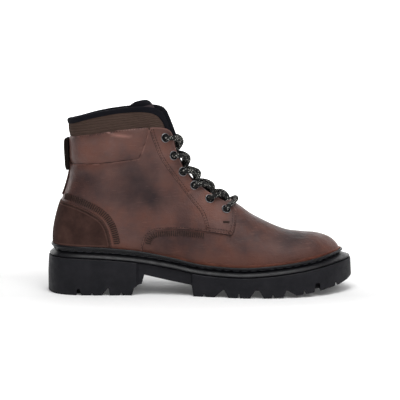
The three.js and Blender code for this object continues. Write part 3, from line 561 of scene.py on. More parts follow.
def lace_look(name, color, fleck):
    """A round braid with pale flecks. The attribute route holds (turns around, millimetres along)."""
    look = Look(name, roughness=0.9, Specular_IOR_Level=0.15)
    route = look.attribute("route", "Vector")
    parts = look.node("ShaderNodeSeparateXYZ", {"Vector": route})
    around, along = parts.outputs[0], parts.outputs[1]
    turns, waves = [], []
    for sign in (1.0, -1.0):
        angle = look.plus(look.times(around, 5.0), look.times(along, sign * 0.42))
        turns.append(angle)
        waves.append(look.math("FRACT", angle))
    braid = look.math("MAXIMUM", look.off(waves[0], 0.5), look.off(waves[1], 0.5))
    cell = look.node("ShaderNodeCombineXYZ", {
        "X": look.math("FLOOR", turns[0]), "Y": look.math("FLOOR", turns[1])})
    noise = look.node("ShaderNodeTexWhiteNoise", {"Vector": cell.outputs[0]}, noise_dimensions="3D")
    chance = noise.outputs["Value"]
    pale = look.times(look.math("GREATER_THAN", chance, 0.58), look.span(braid, 0.26, 0.2))
    look.to("Base Color", look.mix(pale, color, fleck))
    look.bump((braid, 0.0005), (look.noise(3000, 2), 0.0001))
    return look.material


def thread_look(name, color, pale, roughness, shine):
    look = Look(name, roughness=roughness, Specular_IOR_Level=shine)
    look.to("Base Color", look.mix(look.span(look.noise(900, 2), 0.3, 0.7), color, pale))
    look.bump((look.noise(3500, 2), 0.0001))
    return look.material


LEATHER = leather_look(
    "pull_up_leather", (0.030, 0.017, 0.018), (0.168, 0.086, 0.072), (0.160, 0.059, 0.039), 0.44)
NUBUCK = nubuck_look("nubuck", (0.029, 0.015, 0.013), (0.074, 0.038, 0.031))
WEBBING = cloth_look("webbing", (0.010, 0.007, 0.006), (0.024, 0.016, 0.013), pitch=1.4)
RIBBED = cloth_look("ribbed_textile", (0.045, 0.029, 0.023), (0.102, 0.066, 0.053), pitch=1.2, ribs=2.3)
BINDING = cloth_look("binding_textile", (0.004, 0.004, 0.006), (0.013, 0.013, 0.018), pitch=0.9)
LINING = cloth_look("lining_textile", (0.008, 0.008, 0.010), (0.022, 0.022, 0.026), pitch=1.6)
# A pale purple-grey cloth, used for a painted highlight band on the tongue pad.
PAINTED_HIGHLIGHT_CLOTH = cloth_look("tongue_painted_highlight_textile", (0.035, 0.026, 0.030), (0.075, 0.058, 0.064), pitch=0.9)
RUBBER = rubber_look("rubber", (0.010, 0.010, 0.013), (0.017, 0.0165, 0.0205), 0.6, 0.18)
GLOSSY = rubber_look("glossy_rubber", (0.005, 0.005, 0.0065), (0.010, 0.0095, 0.012), 0.38, 0.26)
THREAD = thread_look("thread", (0.022, 0.013, 0.011), (0.055, 0.034, 0.027), 0.75, 0.15)
DARK_THREAD = thread_look("welt_thread", (0.012, 0.013, 0.016), (0.04, 0.042, 0.05), 0.5, 0.4)
BLACK_METAL = metal_look("black_metal", (0.018, 0.018, 0.020), 0.45)
GUNMETAL = metal_look("gunmetal", (0.2, 0.2, 0.205), 0.36)
LACE = lace_look("lace_cord", (0.017, 0.017, 0.017), (0.4, 0.39, 0.36))
TIP = rubber_look("lace_tip", (0.012, 0.012, 0.013), (0.02, 0.02, 0.02), 0.3)


# ---------------------------------------- mesh helpers


def piece(name, points, faces, material, body="boot", slot=None, replaces=(), flat_angle=None, data=None):
    """A mesh object from points in millimetres. data holds values for each point, by attribute name."""
    mesh = bpy.data.meshes.new(name)
    mesh.from_pydata((np.asarray(points, float) * MM).tolist(), [], [tuple(map(int, f)) for f in faces])
    mesh.validate()
    mesh.shade_smooth()
    for key, values in (data or {}).items():
        values = np.asarray(values, np.float32)
        kind = "FLOAT_VECTOR" if values.ndim == 2 else "FLOAT"
        layer = mesh.attributes.new(key, kind, "POINT")
        layer.data.foreach_set("vector" if values.ndim == 2 else "value", values.ravel())
    if flat_angle is not None:
        mesh.set_sharp_from_angle(angle=math.radians(flat_angle))
    mesh.materials.append(material)
    made = bpy.data.objects.new(name, mesh)
    bpy.context.scene.collection.objects.link(made)
    if body:
        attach(made, body)
    if replaces:
        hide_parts(*replaces)
    return made


def outward(made):
    """Turns all faces of a closed mesh outwards."""
    work = bmesh.new()
    work.from_mesh(made.data)
    bmesh.ops.recalc_face_normals(work, faces=work.faces)
    work.to_mesh(made.data)
    work.free()
    return made


def loft_faces(rows, columns, wrap_rows=False, wrap_columns=True):
    faces = []
    for r in range(rows if wrap_rows else rows - 1):
        for c in range(columns if wrap_columns else columns - 1):
            a, b = r * columns + c, r * columns + (c + 1) % columns
            d = ((r + 1) % rows) * columns + c
            e = ((r + 1) % rows) * columns + (c + 1) % columns
            faces.append((a, b, e, d))
    return faces


def side_caps(rows, columns):
    """Ends of a loft whose rings run along one side and back along the other."""
    faces = []
    for base, flip in ((0, True), ((rows - 1) * columns, False)):
        for k in range((columns - 1) // 2):
            quad = [base + k, base + k + 1, base + columns - 2 - k, base + columns - 1 - k]
            quad = list(dict.fromkeys(quad))
            if len(quad) > 2:
                faces.append(tuple(quad[::-1] if flip else quad))
    return faces


def solid(name, rings, faces, material, **more):
    """A closed piece through rings of points."""
    return outward(piece(name, np.reshape(rings, (-1, 3)), faces, material, **more))


def capped_faces(count, around):
    """Faces of a loft with flat ends."""
    ends = [tuple(range(around))[::-1], tuple(range((count - 1) * around, count * around))]
    return loft_faces(count, around) + ends


def full_turn(count):
    return np.linspace(0, 2 * np.pi, count, endpoint=False)


def circle(u, v, phase):
    return u * np.cos(phase)[:, None] + v * np.sin(phase)[:, None]


def squared(c, power):
    """Turns a circle's cosine or sine into that of a rounded rectangle."""
    return np.sign(c) * np.abs(c) ** power


def hill(distance, width):
    return np.exp(-((distance / width) ** 2))


def frames_along(line):
    """Two unit vectors square to a line at each of its points, turning as little as possible."""
    tangent = unit(np.gradient(line, axis=0))
    first = np.cross(tangent[0], (0, 0, 1))
    if np.linalg.norm(first) < 0.1:
        first = np.cross(tangent[0], (0, 1, 0))
    sides = [unit(first)]
    for t in tangent[1:]:
        side = sides[-1] - t * np.dot(sides[-1], t)
        sides.append(unit(side))
    sides = np.array(sides)
    return tangent, sides, np.cross(tangent, sides)


def tube(line, radius, around):
    """Points, faces and (around, along) values of a tube along a line."""
    _, u, v = frames_along(line)
    radius = np.reshape(radius * np.ones(len(line)), (-1, 1, 1))
    phase = full_turn(around)
    ring = u[:, None] * np.cos(phase)[None, :, None] + v[:, None] * np.sin(phase)[None, :, None]
    points = (line[:, None] + ring * radius).reshape(-1, 3)
    turns, along = np.tile(phase / (2 * np.pi), len(line)), np.repeat(length_of(line), around)
    return points, capped_faces(len(line), around), np.stack([turns, along, 0 * along], 1)


# ---------------------------------------- panels of the upper

CHART_ANGLE, CHART_AROUND = 4.6, 85.0  # millimetres for one degree and for the way from back to front
# Blobs of colour on the leather: partly its own pull-up colour, partly painted highlight (ankle panel,
# eyestay) and painted shade (middle of the quarter).
TONES_AND_PAINTED_LIGHT = [  # x, z, radius, strength: above zero is warm and light, below zero dark and grey
    (-110, 142, 14, 0.9), (-86, 148, 13, 0.8), (-66, 145, 10, 0.3), (-115, 113, 14, -0.25),
    (-62, 104, 25, -0.85), (-38, 108, 12, 0.3), (-48, 70, 16, 0.5), (-88, 72, 18, 0.7),
    (-67, 50, 12, 0.4), (-34, 48, 14, -0.45), (14, 50, 18, 0.2), (87, 50, 16, -0.3),
    (118, 47, 14, 0.2), (-32, 142, 13, 0.9), (-12, 112, 12, 0.7), (5, 88, 14, 0.9), (18, 74, 12, 0.8),
]
CREASE = [(-92, 161), (-87, 158.6), (-81, 156.9), (-74, 156), (-68, 155.6)]


def tone_and_painted_light_at(points):
    total = np.zeros(len(points))
    for x, z, radius, strength in TONES_AND_PAINTED_LIGHT:
        total += strength * np.exp(-((points[:, 0] - x) ** 2 + (points[:, 2] - z) ** 2) / radius**2)
    return np.clip(total, -1, 1)


class Chart:
    """Flat coordinates on the upper, from its front line or from its back line."""

    def __init__(self, at_front):
        self.at_front = at_front

    def flat(self, angle, t, side):
        angle, t, side = np.broadcast_arrays(np.asarray(angle, float), t, side)
        around = side * ((1 - t) if self.at_front else t)
        return np.stack([angle * CHART_ANGLE, around * CHART_AROUND], -1)

    def unflat(self, p):
        angle, around = p[:, 0] / CHART_ANGLE, p[:, 1] / CHART_AROUND
        t = np.clip(np.abs(around), 0, 1)
        side = np.where(around < 0, -1.0, 1.0)
        return angle, (1 - t) if self.at_front else t, side

    def seam(self, points, side):
        angle, t = surface_at(points)
        return self.flat(angle, t, side)


FRONT, BACK = Chart(True), Chart(False)


def inside(points, polygon):
    x, y = points[:, 0][:, None], points[:, 1][:, None]
    a, b = polygon, np.roll(polygon, -1, 0)
    crosses = (a[:, 1] > y) != (b[:, 1] > y)
    slope = (b[:, 0] - a[:, 0]) / np.where(b[:, 1] == a[:, 1], 1e-9, b[:, 1] - a[:, 1])
    return ((x < a[:, 0] + (y - a[:, 1]) * slope) & crosses).sum(1) % 2 == 1


def nearest(points, targets, chunk=2000):
    found = np.empty(len(points))
    for i in range(0, len(points), chunk):
        gap = points[i : i + chunk, None] - targets[None]
        found[i : i + chunk] = np.sqrt((gap**2).sum(-1).min(1))
    return found


def clean_loop(line, step=0.7):
    line = np.vstack([line, line[:1]])
    count = max(12, int(length_of(line)[-1] / step))
    return resample(line, count + 1)[:-1]


EDGE_ROWS = (0.35, 0.8, 1.5)  # how far from a panel's edge the rows of points beside it run
EDGE_CLEAR, WELD = 0.3, 0.28  # no inner point nearer to the edge, and no two nearer to each other


def flat_mesh(loop, holes, spacing):
    """Triangles over the inside of a loop, with rows of points close to its edge."""
    loops = [loop, *holes]
    edge_points = np.vstack(loops)
    low, high = loop.min(0), loop.max(0)
    xs = np.arange(low[0], high[0], spacing)
    ys = np.arange(low[1], high[1], spacing * 0.866)
    grid = np.array([(x + (spacing / 2 if j % 2 else 0), y) for j, y in enumerate(ys) for x in xs])
    rows = [grid]
    for inner in EDGE_ROWS:
        for ring in loops:
            along = unit(np.roll(ring, -1, 0) - np.roll(ring, 1, 0))
            for sign in (1, -1):
                rows.append(ring + np.stack([-along[:, 1], along[:, 0]], 1) * sign * inner)

    def within(at):
        in_hole = [inside(at, hole) for hole in holes]
        return inside(at, loop) & ~np.any(in_hole or [False], axis=0)

    kept = [row[within(row)] for row in rows[::-1]]
    points = np.vstack([edge_points] + [row[nearest(row, edge_points) > EDGE_CLEAR] for row in kept])
    _, first = np.unique(np.round(points / WELD).astype(int), axis=0, return_index=True)
    keep = np.union1d(np.arange(len(edge_points)), first)
    points = points[keep]
    edges, start = [], 0
    for ring in loops:
        n = len(ring)
        edges += [(start + i, start + (i + 1) % n) for i in range(n)]
        start += n
    out = geometry.delaunay_2d_cdt([Vector(p) for p in points], edges, [], 0, 1e-4)
    made, triangles = np.array([(v.x, v.y) for v in out[0]]), np.array(out[2])
    return made, triangles[within(made[triangles].mean(1))]


def panel(name, chart, outline, layer, edge_radius=0.9, holes=(), spacing=2.6, swell=None,
          material=None, slot="leather", replaces=(), weave=False, crease=None):
    """Leather or cloth on the upper: two skins and the wall between them, with a rounded edge."""
    loop = clean_loop(outline)
    holes = [np.asarray(h) for h in holes]
    flat, triangles = flat_mesh(loop, holes, spacing)
    angle, t, side = chart.unflat(flat)
    base = upper(angle, t, side)
    normal = upper_normal(angle, t, side)
    rim = np.vstack([loop, *holes])
    edge_angle, edge_t, edge_side = chart.unflat(rim)
    depth = nearest(base, upper(edge_angle, edge_t, edge_side))
    short = np.clip(edge_radius - depth, 0, edge_radius)
    drop = edge_radius - np.sqrt(edge_radius**2 - short**2)
    height = LEVEL[layer] - drop
    if swell is not None:
        height = height + swell(base, depth)
    outer = base + normal * height[:, None]
    inner = base + normal * (LEVEL[layer] - THICKNESS[layer])
    # Face the triangles outwards.
    corner = outer[triangles]
    facing = np.einsum("ij,ij->i", np.cross(corner[:, 1] - corner[:, 0], corner[:, 2] - corner[:, 0]),
                       normal[triangles].mean(1))
    triangles = np.where((facing < 0)[:, None], triangles[:, ::-1], triangles)
    n = len(outer)
    directed = {(a, b) for tri in triangles.tolist() for a, b in zip(tri, tri[1:] + tri[:1])}
    wall = [(b, a, a + n, b + n) for a, b in directed if (b, a) not in directed]
    faces = triangles.tolist() + (triangles[:, ::-1] + n).tolist() + wall
    low = np.clip(1 - (base[:, 2] - feather(base[:, 0]) + WELT_DROP) / 24, 0, 1)
    # The crease values mark where a painted highlight lies along a fold.
    marks = np.zeros(n) if crease is None else crease(base)
    looks = {"edge": np.clip(depth, 0, 20), "low": low, "tone": tone_and_painted_light_at(base), "crease": marks}
    data = {key: np.tile(values, 2) for key, values in looks.items()}
    if weave:
        data["weave"] = np.tile(np.stack([flat[:, 1], 0 * angle, flat[:, 0]], 1) * MM, (2, 1))
    points = np.vstack([outer, inner])
    piece(name, points, faces, material or LEATHER, slot=slot, replaces=replaces, data=data)


def ripples(points, size, seed):
    """Soft undulation between -1 and 1."""
    rng = np.random.default_rng(seed)  # the draws stay in this order
    total = np.zeros(len(points))
    for _ in range(5):
        direction = unit(rng.normal(size=3))
        length = size * rng.uniform(0.7, 1.5)
        total += np.sin(points @ direction * 2 * np.pi / length + rng.uniform(0, 6.28))
    return total / 5


def feather_line(x_from, x_to, count=60):
    """The lower edge of the panels, behind the bead of the welt."""
    x = np.linspace(x_from, x_to, count)
    return np.stack([x, feather(x) + bead_height(x) - 0.6], 1)


def flap_edge(side, from_angle, to_angle, width=FLAP_HALF_GAP):
    angle = np.linspace(from_angle, to_angle, 60)
    return FRONT.flat(angle, t_at_width(angle, width), side)


def hole_loop(chart, at, side, radius):
    """A round hole through a panel, as a loop in the chart."""
    angle, t = surface_at([at])
    centre = upper(angle, t, side)[0]
    normal = upper_normal(angle, t, side)[0]
    u = unit(np.cross(normal, (0, 0, 1)))
    v = np.cross(normal, u)
    step_a = upper(angle + 0.1, t, side)[0] - upper(angle - 0.1, t, side)[0]
    step_t = upper(angle, t + 0.001, side)[0] - upper(angle, t - 0.001, side)[0]
    metric = np.array([[step_a @ u, step_t @ u], [step_a @ v, step_t @ v]]) / np.array([0.2, 0.002])
    phase = full_turn(28)
    moves = np.linalg.solve(metric, radius * np.stack([np.cos(phase), np.sin(phase)]))
    return chart.flat(angle + moves[0], t + moves[1], side)


CREASE_LINE = resample(smooth(CREASE, 8), 80)
ANKLE_LINE = resample(np.vstack([smooth(ANKLE_SEAM, 8), smooth(ANKLE_FRONT_SEAM, 8)[1:]]), 160)


def vamp():
    def half(side):
        low = feather_line(-64, TOE_TIP, 90)[::-1]
        rise = smooth(UNDER_HEM, 6)
        top_angle = np.linspace(33.0, 34.2, 10)
        throat = FRONT.flat(top_angle, t_at_width(top_angle, np.linspace(17, 3, 10)), side)
        return np.vstack([FRONT.seam(low, side), FRONT.seam(rise, side), throat])

    def swell(base, depth):
        x, z = base[:, 0], base[:, 2]
        crease = -0.5 * hill(x - 52, 7) * np.clip((z - 50) / 20, 0, 1)
        return 0.25 * ripples(base, 46, 3) * np.clip(depth / 8, 0, 1) + crease

    outline = np.vstack([half(LATERAL), half(MEDIAL)[::-1]])
    panel("vamp_leather", FRONT, outline, "vamp", swell=swell, replaces=["vamp"])


def quarter(name, side):
    low = feather_line(HEEL_TIP, -56, 50)
    hem = smooth(HEM_BACK[1:], 8)
    under_eyestay = smooth(UNDER_EYESTAY, 6)
    apex = np.array([(-50.0, 162.5), (-51.0, 159.5)])
    seam = np.vstack([smooth(ANKLE_SEAM, 8), smooth(ANKLE_FRONT_SEAM, 8)])[::-1]
    back_angle = angle_at(-128.5, 127.5)
    low_angle = surface_at(low[:1])[0][0]
    back = BACK.flat(np.linspace(back_angle, low_angle, 60), 0.0, side)
    seams = (low, hem, under_eyestay, apex, between(seam, -126))
    outline = np.vstack([BACK.seam(p, side) for p in seams] + [back])

    def swell(base, depth):
        slump = 0.5 * ripples(base * (1, 1, 0.6), 60, 5 + side) * np.clip(depth / 14, 0, 1)
        under_seam = np.interp(base[:, 0], *np.array(ANKLE_SEAM, float).T) - base[:, 2]
        bulge = 0.9 * hill(under_seam - 5, 4) * (base[:, 0] < -60)
        return slump + bulge + 0.5 * np.clip(depth / 7, 0, 1) * np.clip(1 - depth / 16, 0, 1)

    panel(f"quarter_leather_{name}", BACK, outline, "quarter", swell=swell, replaces=[f"quarter_{name}"])


def ankle_panel(name, side):
    under = between(smooth(UNDER_ANKLE, 8), -127.5)
    top = between(smooth(LEATHER_TOP, 8)[::-1], -127.5, -47)
    back = BACK.flat(np.linspace(angle_at(-129.3, 154), angle_at(-129, 122.5), 40), 0.0, side)
    outline = np.vstack([BACK.seam(under, side), BACK.seam(top, side), back])

    def swell(base, depth):
        x, z = base[:, 0], base[:, 2]
        from_seam = nearest(base[:, ::2], ANKLE_LINE)
        behind = x < np.interp(z, ANKLE_LINE[:, 1], ANKLE_LINE[:, 0])
        within = (z > np.interp(x, *ANKLE_LINE.T)) & behind
        rise = within * np.clip(from_seam / 6, 0, 1) * np.clip(depth / 3.5, 0, 1)
        trough = -0.7 * hill(from_seam, 1.5)
        gap = nearest(base[:, ::2], CREASE_LINE)
        above = z > np.interp(x, *CREASE_LINE.T)
        fold = 0.5 * hill(gap, 0.9) - 0.8 * above * hill(gap - 2.2, 1.4)
        return 2.6 * rise**0.6 + trough + fold + 0.35 * ripples(base, 42, 11 + side) * rise

    # Where the painted highlight along the ankle crease lies.
    def crease(base):
        return 0.85 * hill(nearest(base[:, ::2], CREASE_LINE), 0.6)

    panel(f"ankle_leather_{name}", BACK, outline, "ankle", swell=swell,
          replaces=[f"ankle_panel_{name}"], crease=crease)


def eyestay_outline(side):
    seam = smooth(EYESTAY_SEAM, 8)
    hem = smooth(HEM_FRONT, 8)[1:]
    throat = smooth(THROAT_EDGE, 8)[1:]
    edge = flap_edge(side, angle_at(36, 88), angle_at(-25, 156))
    ends = [edge, FRONT.seam(FLAP_CORNER, side)]
    return np.vstack([FRONT.seam(p, side) for p in (seam, hem, throat)] + ends)


def eyestay(name, side):
    holes = [hole_loop(FRONT, at, side, EYELET_HOLE) for at in EYELET_AT]

    def swell(base, depth):
        return 0.3 * np.clip(depth / 4, 0, 1) * (0.6 + 0.4 * ripples(base, 30, 21 + side))

    panel(f"eyestay_leather_{name}", FRONT, eyestay_outline(side), "eyestay", holes=holes,
          swell=swell, spacing=2.2, replaces=[f"eyestay_{name}"])
    backing = smooth(BACKING_EDGE, 6)
    edge = flap_edge(side, 33.0, 11.0, FLAP_HALF_GAP + 0.6)
    top = np.array([(-31, 159.5), (-38, 161)])
    outline = np.vstack([FRONT.seam(backing, side), edge, FRONT.seam(top, side)])
    panel(f"eyestay_backing_{name}", FRONT, outline, "backing", 0.4, holes, spacing=3.0, material=LINING,
          slot="lining_textile", replaces=[f"eyestay_facing_{name}"])


def across_back(line):
    """A seam that runs from the front of one side round the back to the front of the other side."""
    return BACK.seam(line[::-1], LATERAL), BACK.seam(line, MEDIAL)


def collar_panel():
    low = smooth([(x, z - 4.5) for x, z in LEATHER_TOP] + [(-33, 157)], 8)
    high = smooth([(x, z + 2.5) for x, z in BINDING_LOW[:9]], 8)
    sections = []
    for line in (between(low, -128.5), between(high, -128.5)):
        lateral, medial = across_back(line)
        middle = BACK.flat(surface_at(line[:1])[0], 0.0, 1.0)
        sections.append(np.vstack([lateral, middle, medial]))
    outline = np.vstack([sections[0], sections[1][::-1]])

    def swell(base, depth):
        return 1.7 * np.clip(depth / 6, 0, 1) ** 0.7 + 0.3 * ripples(base, 35, 31)

    panel("collar_textile", BACK, outline, "collar", swell=swell, material=RIBBED,
          slot="collar_textile", replaces=["collar_panel"], weave=True)


def heel_counter():
    top = between(smooth(COUNTER_TOP, 8), -140)
    top = top[top[:, 1] > feather(top[:, 0]) + bead_height(top[:, 0])]
    lateral, medial = across_back(top)
    peak = BACK.flat(np.array([angle_at(-139, 92.5)]), 0.0, 1.0)
    low = feather_line(top[-1, 0], HEEL_TIP, 40)
    outline = np.vstack([lateral, peak, medial, BACK.seam(low, MEDIAL), BACK.seam(low, LATERAL)[::-1]])

    def swell(base, depth):
        return 0.45 * np.clip(depth / 5, 0, 1)

    panel("heel_counter_nubuck", BACK, outline, "counter", swell=swell, material=NUBUCK,
          slot="nubuck", replaces=["heel_counter"])


def backstay():
    angles = np.linspace(angle_at(-136, 96), angle_at(-128.5, 151), 40)
    t = t_at_width(angles, BACKSTAY_HALF_WIDE, True)
    outline = np.vstack([BACK.flat(angles, t, LATERAL), BACK.flat(angles, t, MEDIAL)[::-1]])
    panel("backstay_strip", BACK, outline, "backstay", 0.6, spacing=2.0, material=NUBUCK,
          slot="nubuck", replaces=["backstay"])


vamp()
for side_name, side_sign in SIDES.items():
    quarter(side_name, side_sign)
    ankle_panel(side_name, side_sign)
    eyestay(side_name, side_sign)
collar_panel()
heel_counter()
backstay()

# ---------------------------------------- collar binding, lining, footbed


def collar_binding():
    """A padded roll over the collar's top edge and down the front edge of each flap."""
    low = smooth(BINDING_LOW, 10)
    halves = []
    for side in (LATERAL, MEDIAL):
        low_line = np.stack(surface_at(between(low, -129)), 1)
        low_line = np.vstack([[low_line[0, 0], 0.0], low_line])
        top = smooth(BINDING_TOP if side == LATERAL else BINDING_TOP_MEDIAL, 10)
        top_line = np.stack(surface_at(between(top, -130)), 1)
        front_angle = np.linspace(7.5 if side == LATERAL else 5.6, 12.6, 24)
        front_line = np.stack([front_angle, t_at_width(front_angle, BINDING_HALF_GAP[side])], 1)
        top_line = np.vstack([[top_line[0, 0], 0.0], top_line, front_line])
        scale = np.array([CHART_ANGLE, CHART_AROUND])
        pair = [resample(line * scale, BINDING_RINGS) / scale for line in (low_line, top_line)]
        sections = []
        for (a0, t0), (a1, t1) in zip(*pair):
            foot_point = upper(a0, t0, side)
            head_point = upper(a1, t1, side)
            normal = unit(upper_normal(a0, t0, side) + upper_normal(a1, t1, side))
            up = head_point - foot_point
            middle = (foot_point + head_point) / 2 - normal * BINDING_SET_IN
            phase = full_turn(28)
            tall = up * 0.53 * squared(np.sin(phase), 0.6)[:, None]
            deep = normal * BINDING_THICK * squared(np.cos(phase), 0.6)[:, None]
            sections.append(middle + tall + deep)
        halves.append(np.array(sections))
    rings = np.concatenate([halves[0][::-1], halves[1][1:]])
    for end, step in ((0, 1), (-1, -1)):
        centre = rings[end].mean(0)
        rings[end] = centre + (rings[end] - centre) * 0.55
    made = solid("collar_binding", rings, capped_faces(*rings.shape[:2]), BINDING,
                 slot="binding_textile", replaces=["collar_roll"])


def lining():
    front = smooth(LINING_FRONT, 6)
    top = between(smooth([(x, z + 3) for x, z in BINDING_LOW if x < -48], 6)[::-1], -128.5)
    line = np.vstack([between(smooth(LINING_LOW, 6), -143), front, top])
    outline = np.vstack([BACK.seam(line, LATERAL), BACK.seam(line, MEDIAL)[::-1]])
    panel("shaft_lining", BACK, outline, "lining", 0.3, spacing=4.0, material=LINING,
          slot="lining_textile", replaces=["lining"])


def footbed():
    rows, across = 60, 21
    xs = (1 - np.cos(np.pi * np.linspace(0.02, 0.98, rows))) / 2
    loop = np.roll(inset_outline(18.0), -HEEL_INDEX, 0)
    lateral, medial = loop[: turn + 1], np.vstack([loop[turn:], loop[:1]])[::-1]
    x = loop[:, 0].min() + xs * (loop[:, 0].max() - loop[:, 0].min())
    low, high = np.interp(x, lateral[:, 0], lateral[:, 1]), np.interp(x, medial[:, 0], medial[:, 1])
    share = np.linspace(-1, 1, across)
    middle, half = (low + high) / 2, (high - low) / 2 - 0.6
    y = middle[:, None] + half[:, None] * share
    z_top = feather(x)[:, None] + 2.2 + 1.6 * np.abs(share) ** 4
    z_low = feather(x)[:, None] - 1.4 + 0 * share
    grid_x = np.repeat(x[:, None], across, 1)
    top, bottom = np.stack([grid_x, y, z_top], -1), np.stack([grid_x, y, z_low], -1)[:, ::-1]
    rings = np.concatenate([top, bottom], 1)
    faces = loft_faces(rows, across * 2) + side_caps(rows, across * 2)
    solid("footbed_top", rings, faces, LINING, slot="footbed_textile", replaces=["footbed"],
          flat_angle=50)


collar_binding()
lining()
footbed()

# ---------------------------------------- tongue

TONGUE_ROWS, TONGUE_PAD_FROM, TONGUE_FILL = 76, 56, 0.5
PAINTED_HIGHLIGHT_ROWS = (14, 15)  # rows of the pad that carry a pale band, a painted highlight
TONGUE_LOOKS = {"edge": 9, "low": 0, "tone": -0.3, "crease": 0}


def tongue_rows():
    """Rings of the padded tongue from the throat up, each along the outside and back along the inside."""
    rows = []
    share = np.linspace(-1, 1, 33)
    for row in np.linspace(0, 1, TONGUE_ROWS):
        top_angle = 1.75 + 1.7 * np.abs(share) ** 2 + 1.2 * np.abs(share) ** 16
        angle = 35 + (top_angle - 35) * row
        opened = np.clip((12.5 - angle) / 11.5, 0, 1)
        t = 1 - (1 - t_at_width(angle, 24 + 8 * opened)) * np.abs(share)
        side = np.where(share < 0, -1.0, 1.0)
        rounded_end = np.sqrt(max(0.0, 1 - max(0.0, (row - 0.95) / 0.05) ** 2))
        fat = (1.5 + 1.3 * opened) * (1 - np.abs(share) ** 5) ** 0.5 * rounded_end + 0.12
        normal = upper_normal(angle, t, side)
        centre = raised(angle, t, side, -10.6 - 0.8 * opened)
        centre[:, 0] -= 8.0 * opened**1.4
        rows.append(np.vstack([centre + normal * fat[:, None], (centre - normal * fat[:, None])[::-1]]))
    return np.array(rows)


def tongue():
    rings = tongue_rows()
    around = rings.shape[1]
    parts = [
        ("tongue_leather", rings[: TONGUE_PAD_FROM + 1], LEATHER, "leather", "tongue_lower"),
        ("tongue_pad", rings[TONGUE_PAD_FROM:], BINDING, "binding_textile", "tongue_top"),
    ]
    for name, rows, material, slot, node in parts:
        faces = loft_faces(len(rows), around) + side_caps(len(rows), around)
        plain = np.zeros(rows.shape[:2])
        made = solid(name, rows, faces, material, body=None, slot=slot, replaces=[node],
                     data={key: plain.ravel() + value for key, value in TONGUE_LOOKS.items()})
        # Two rows of the pad get the pale cloth as a painted highlight band.
        made.data.materials.append(PAINTED_HIGHLIGHT_CLOTH)
        for face in made.data.polygons:
            row = min(face.vertices) // around
            if name == "tongue_pad" and row in PAINTED_HIGHLIGHT_ROWS:
                face.material_index = 1
        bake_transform(made)


tongue()

# ---------------------------------------- eyelets and lace


def eyelet_frame(at, side):
    angle, t = surface_at([at])
    return dict(at=upper(angle, t, side)[0], normal=upper_normal(angle, t, side)[0], angle=angle[0])


FRAMES = {name: [eyelet_frame(at, side) for at in EYELET_AT] for name, side in SIDES.items()}


RIM_POINTS = {3, 4, 5}  # the outer part of an eyelet's profile, which gets the paler gunmetal


def eyelets(name):
    """Rolled metal rings, each a turned profile round its hole."""
    bead = np.linspace(0, np.pi, 9)
    profile = [(3.55, -3.1), (3.6, 0.2), (4.4, 0.3)]
    profile += [(3.75 + 0.9 * math.cos(a), 0.5 + 0.7 * math.sin(a)) for a in bead]
    profile += [(2.75, 0.0), (2.7, -3.1)]
    profile = np.array(profile)
    phase = full_turn(40)
    points, faces = [], []
    for placed in FRAMES[name]:
        n = placed["normal"]
        u = unit(np.cross(n, (0, 0, 1)))
        v = np.cross(n, u)
        ring = circle(u, v, phase)
        block = placed["at"] + ring[:, None] * profile[None, :, :1] + n * profile[None, :, 1:]
        base = len(points) * len(phase) * len(profile)
        points.append(block.reshape(-1, 3))
        faces += [tuple(i + base for i in f) for f in loft_faces(len(phase), len(profile), True, True)]
    made = piece(f"eyelets_{name}", np.vstack(points), faces, BLACK_METAL, slot="eyelet_metal",
                 replaces=[f"eyelet_{name}_{i + 1}" for i in range(6)])
    outward(made)
    made.data.materials.append(GUNMETAL)
    for face in made.data.polygons:
        if {v % len(profile) for v in face.vertices} & RIM_POINTS:
            face.material_index = 1


def on_surface(angle, width, side, offset):
    return raised(angle, t_at_width(angle, width), side, offset)


def through(placed, come_from, go_to):
    n, s = placed["normal"], STRAND

    def away(point):
        d = point - placed["at"]
        return unit(d - n * np.dot(d, n))

    def up(height):
        return placed["at"] + n * height

    stations = [up(s["above"]), up((s["above"] + s["below"]) / 2), up(s["below"])]
    if come_from is not None:
        out = away(come_from)
        arc = [up(s["above"] + s["bend"] * 0.72) + out * s["bend"] * 0.3]
        stations = [up(s["above"] + s["bend"]) + out * s["bend"] * 1.2] + arc + stations
    if go_to is not None:
        out = away(go_to)
        arc = [up(s["below"] - s["bend"] * 0.72) + out * s["bend"] * 0.3]
        stations += arc + [up(s["below"] - s["bend"]) + out * s["bend"] * 1.2]
    return stations


def lace_route():
    last = len(EYELET_AT) - 1
    other = {"lateral": "medial", "medial": "lateral"}
    bar_angle = FRAMES["lateral"][last]["angle"]
    bar = [on_surface(bar_angle, STRAND["arrive"], LATERAL, STRAND["over"]),
           on_surface(bar_angle, 6.0, LATERAL, STRAND["bar"] + 0.8),
           on_surface(bar_angle, 0.2, LATERAL, STRAND["bar"]),
           on_surface(bar_angle, 6.0, MEDIAL, STRAND["bar"] + 0.8),
           on_surface(bar_angle, STRAND["arrive"], MEDIAL, STRAND["over"])]

    def half(start, come_from):
        stations, name = [], start
        for k in range(last, -1, -1):
            placed = FRAMES[name][k]
            run = []
            if k > 0:
                goal = FRAMES[other[name]][k - 1]
                crossing = STRAND["high"] if name == "lateral" else STRAND["low"]
                mix = lambda share: placed["angle"] + (goal["angle"] - placed["angle"]) * share
                here, there = SIDES[name], SIDES[other[name]]
                run = [on_surface(mix(0.22), STRAND["leave"], here, STRAND["under"]),
                       on_surface(mix(0.5), 0.2, there, crossing),
                       on_surface(mix(0.8), STRAND["arrive"], there, STRAND["over"])]
            stations += through(placed, come_from, run[0] if run else None) + run
            come_from = run[-1] if run else None
            name = other[name]
        return stations

    return half("lateral", bar[0])[::-1] + bar + half("medial", bar[-1])


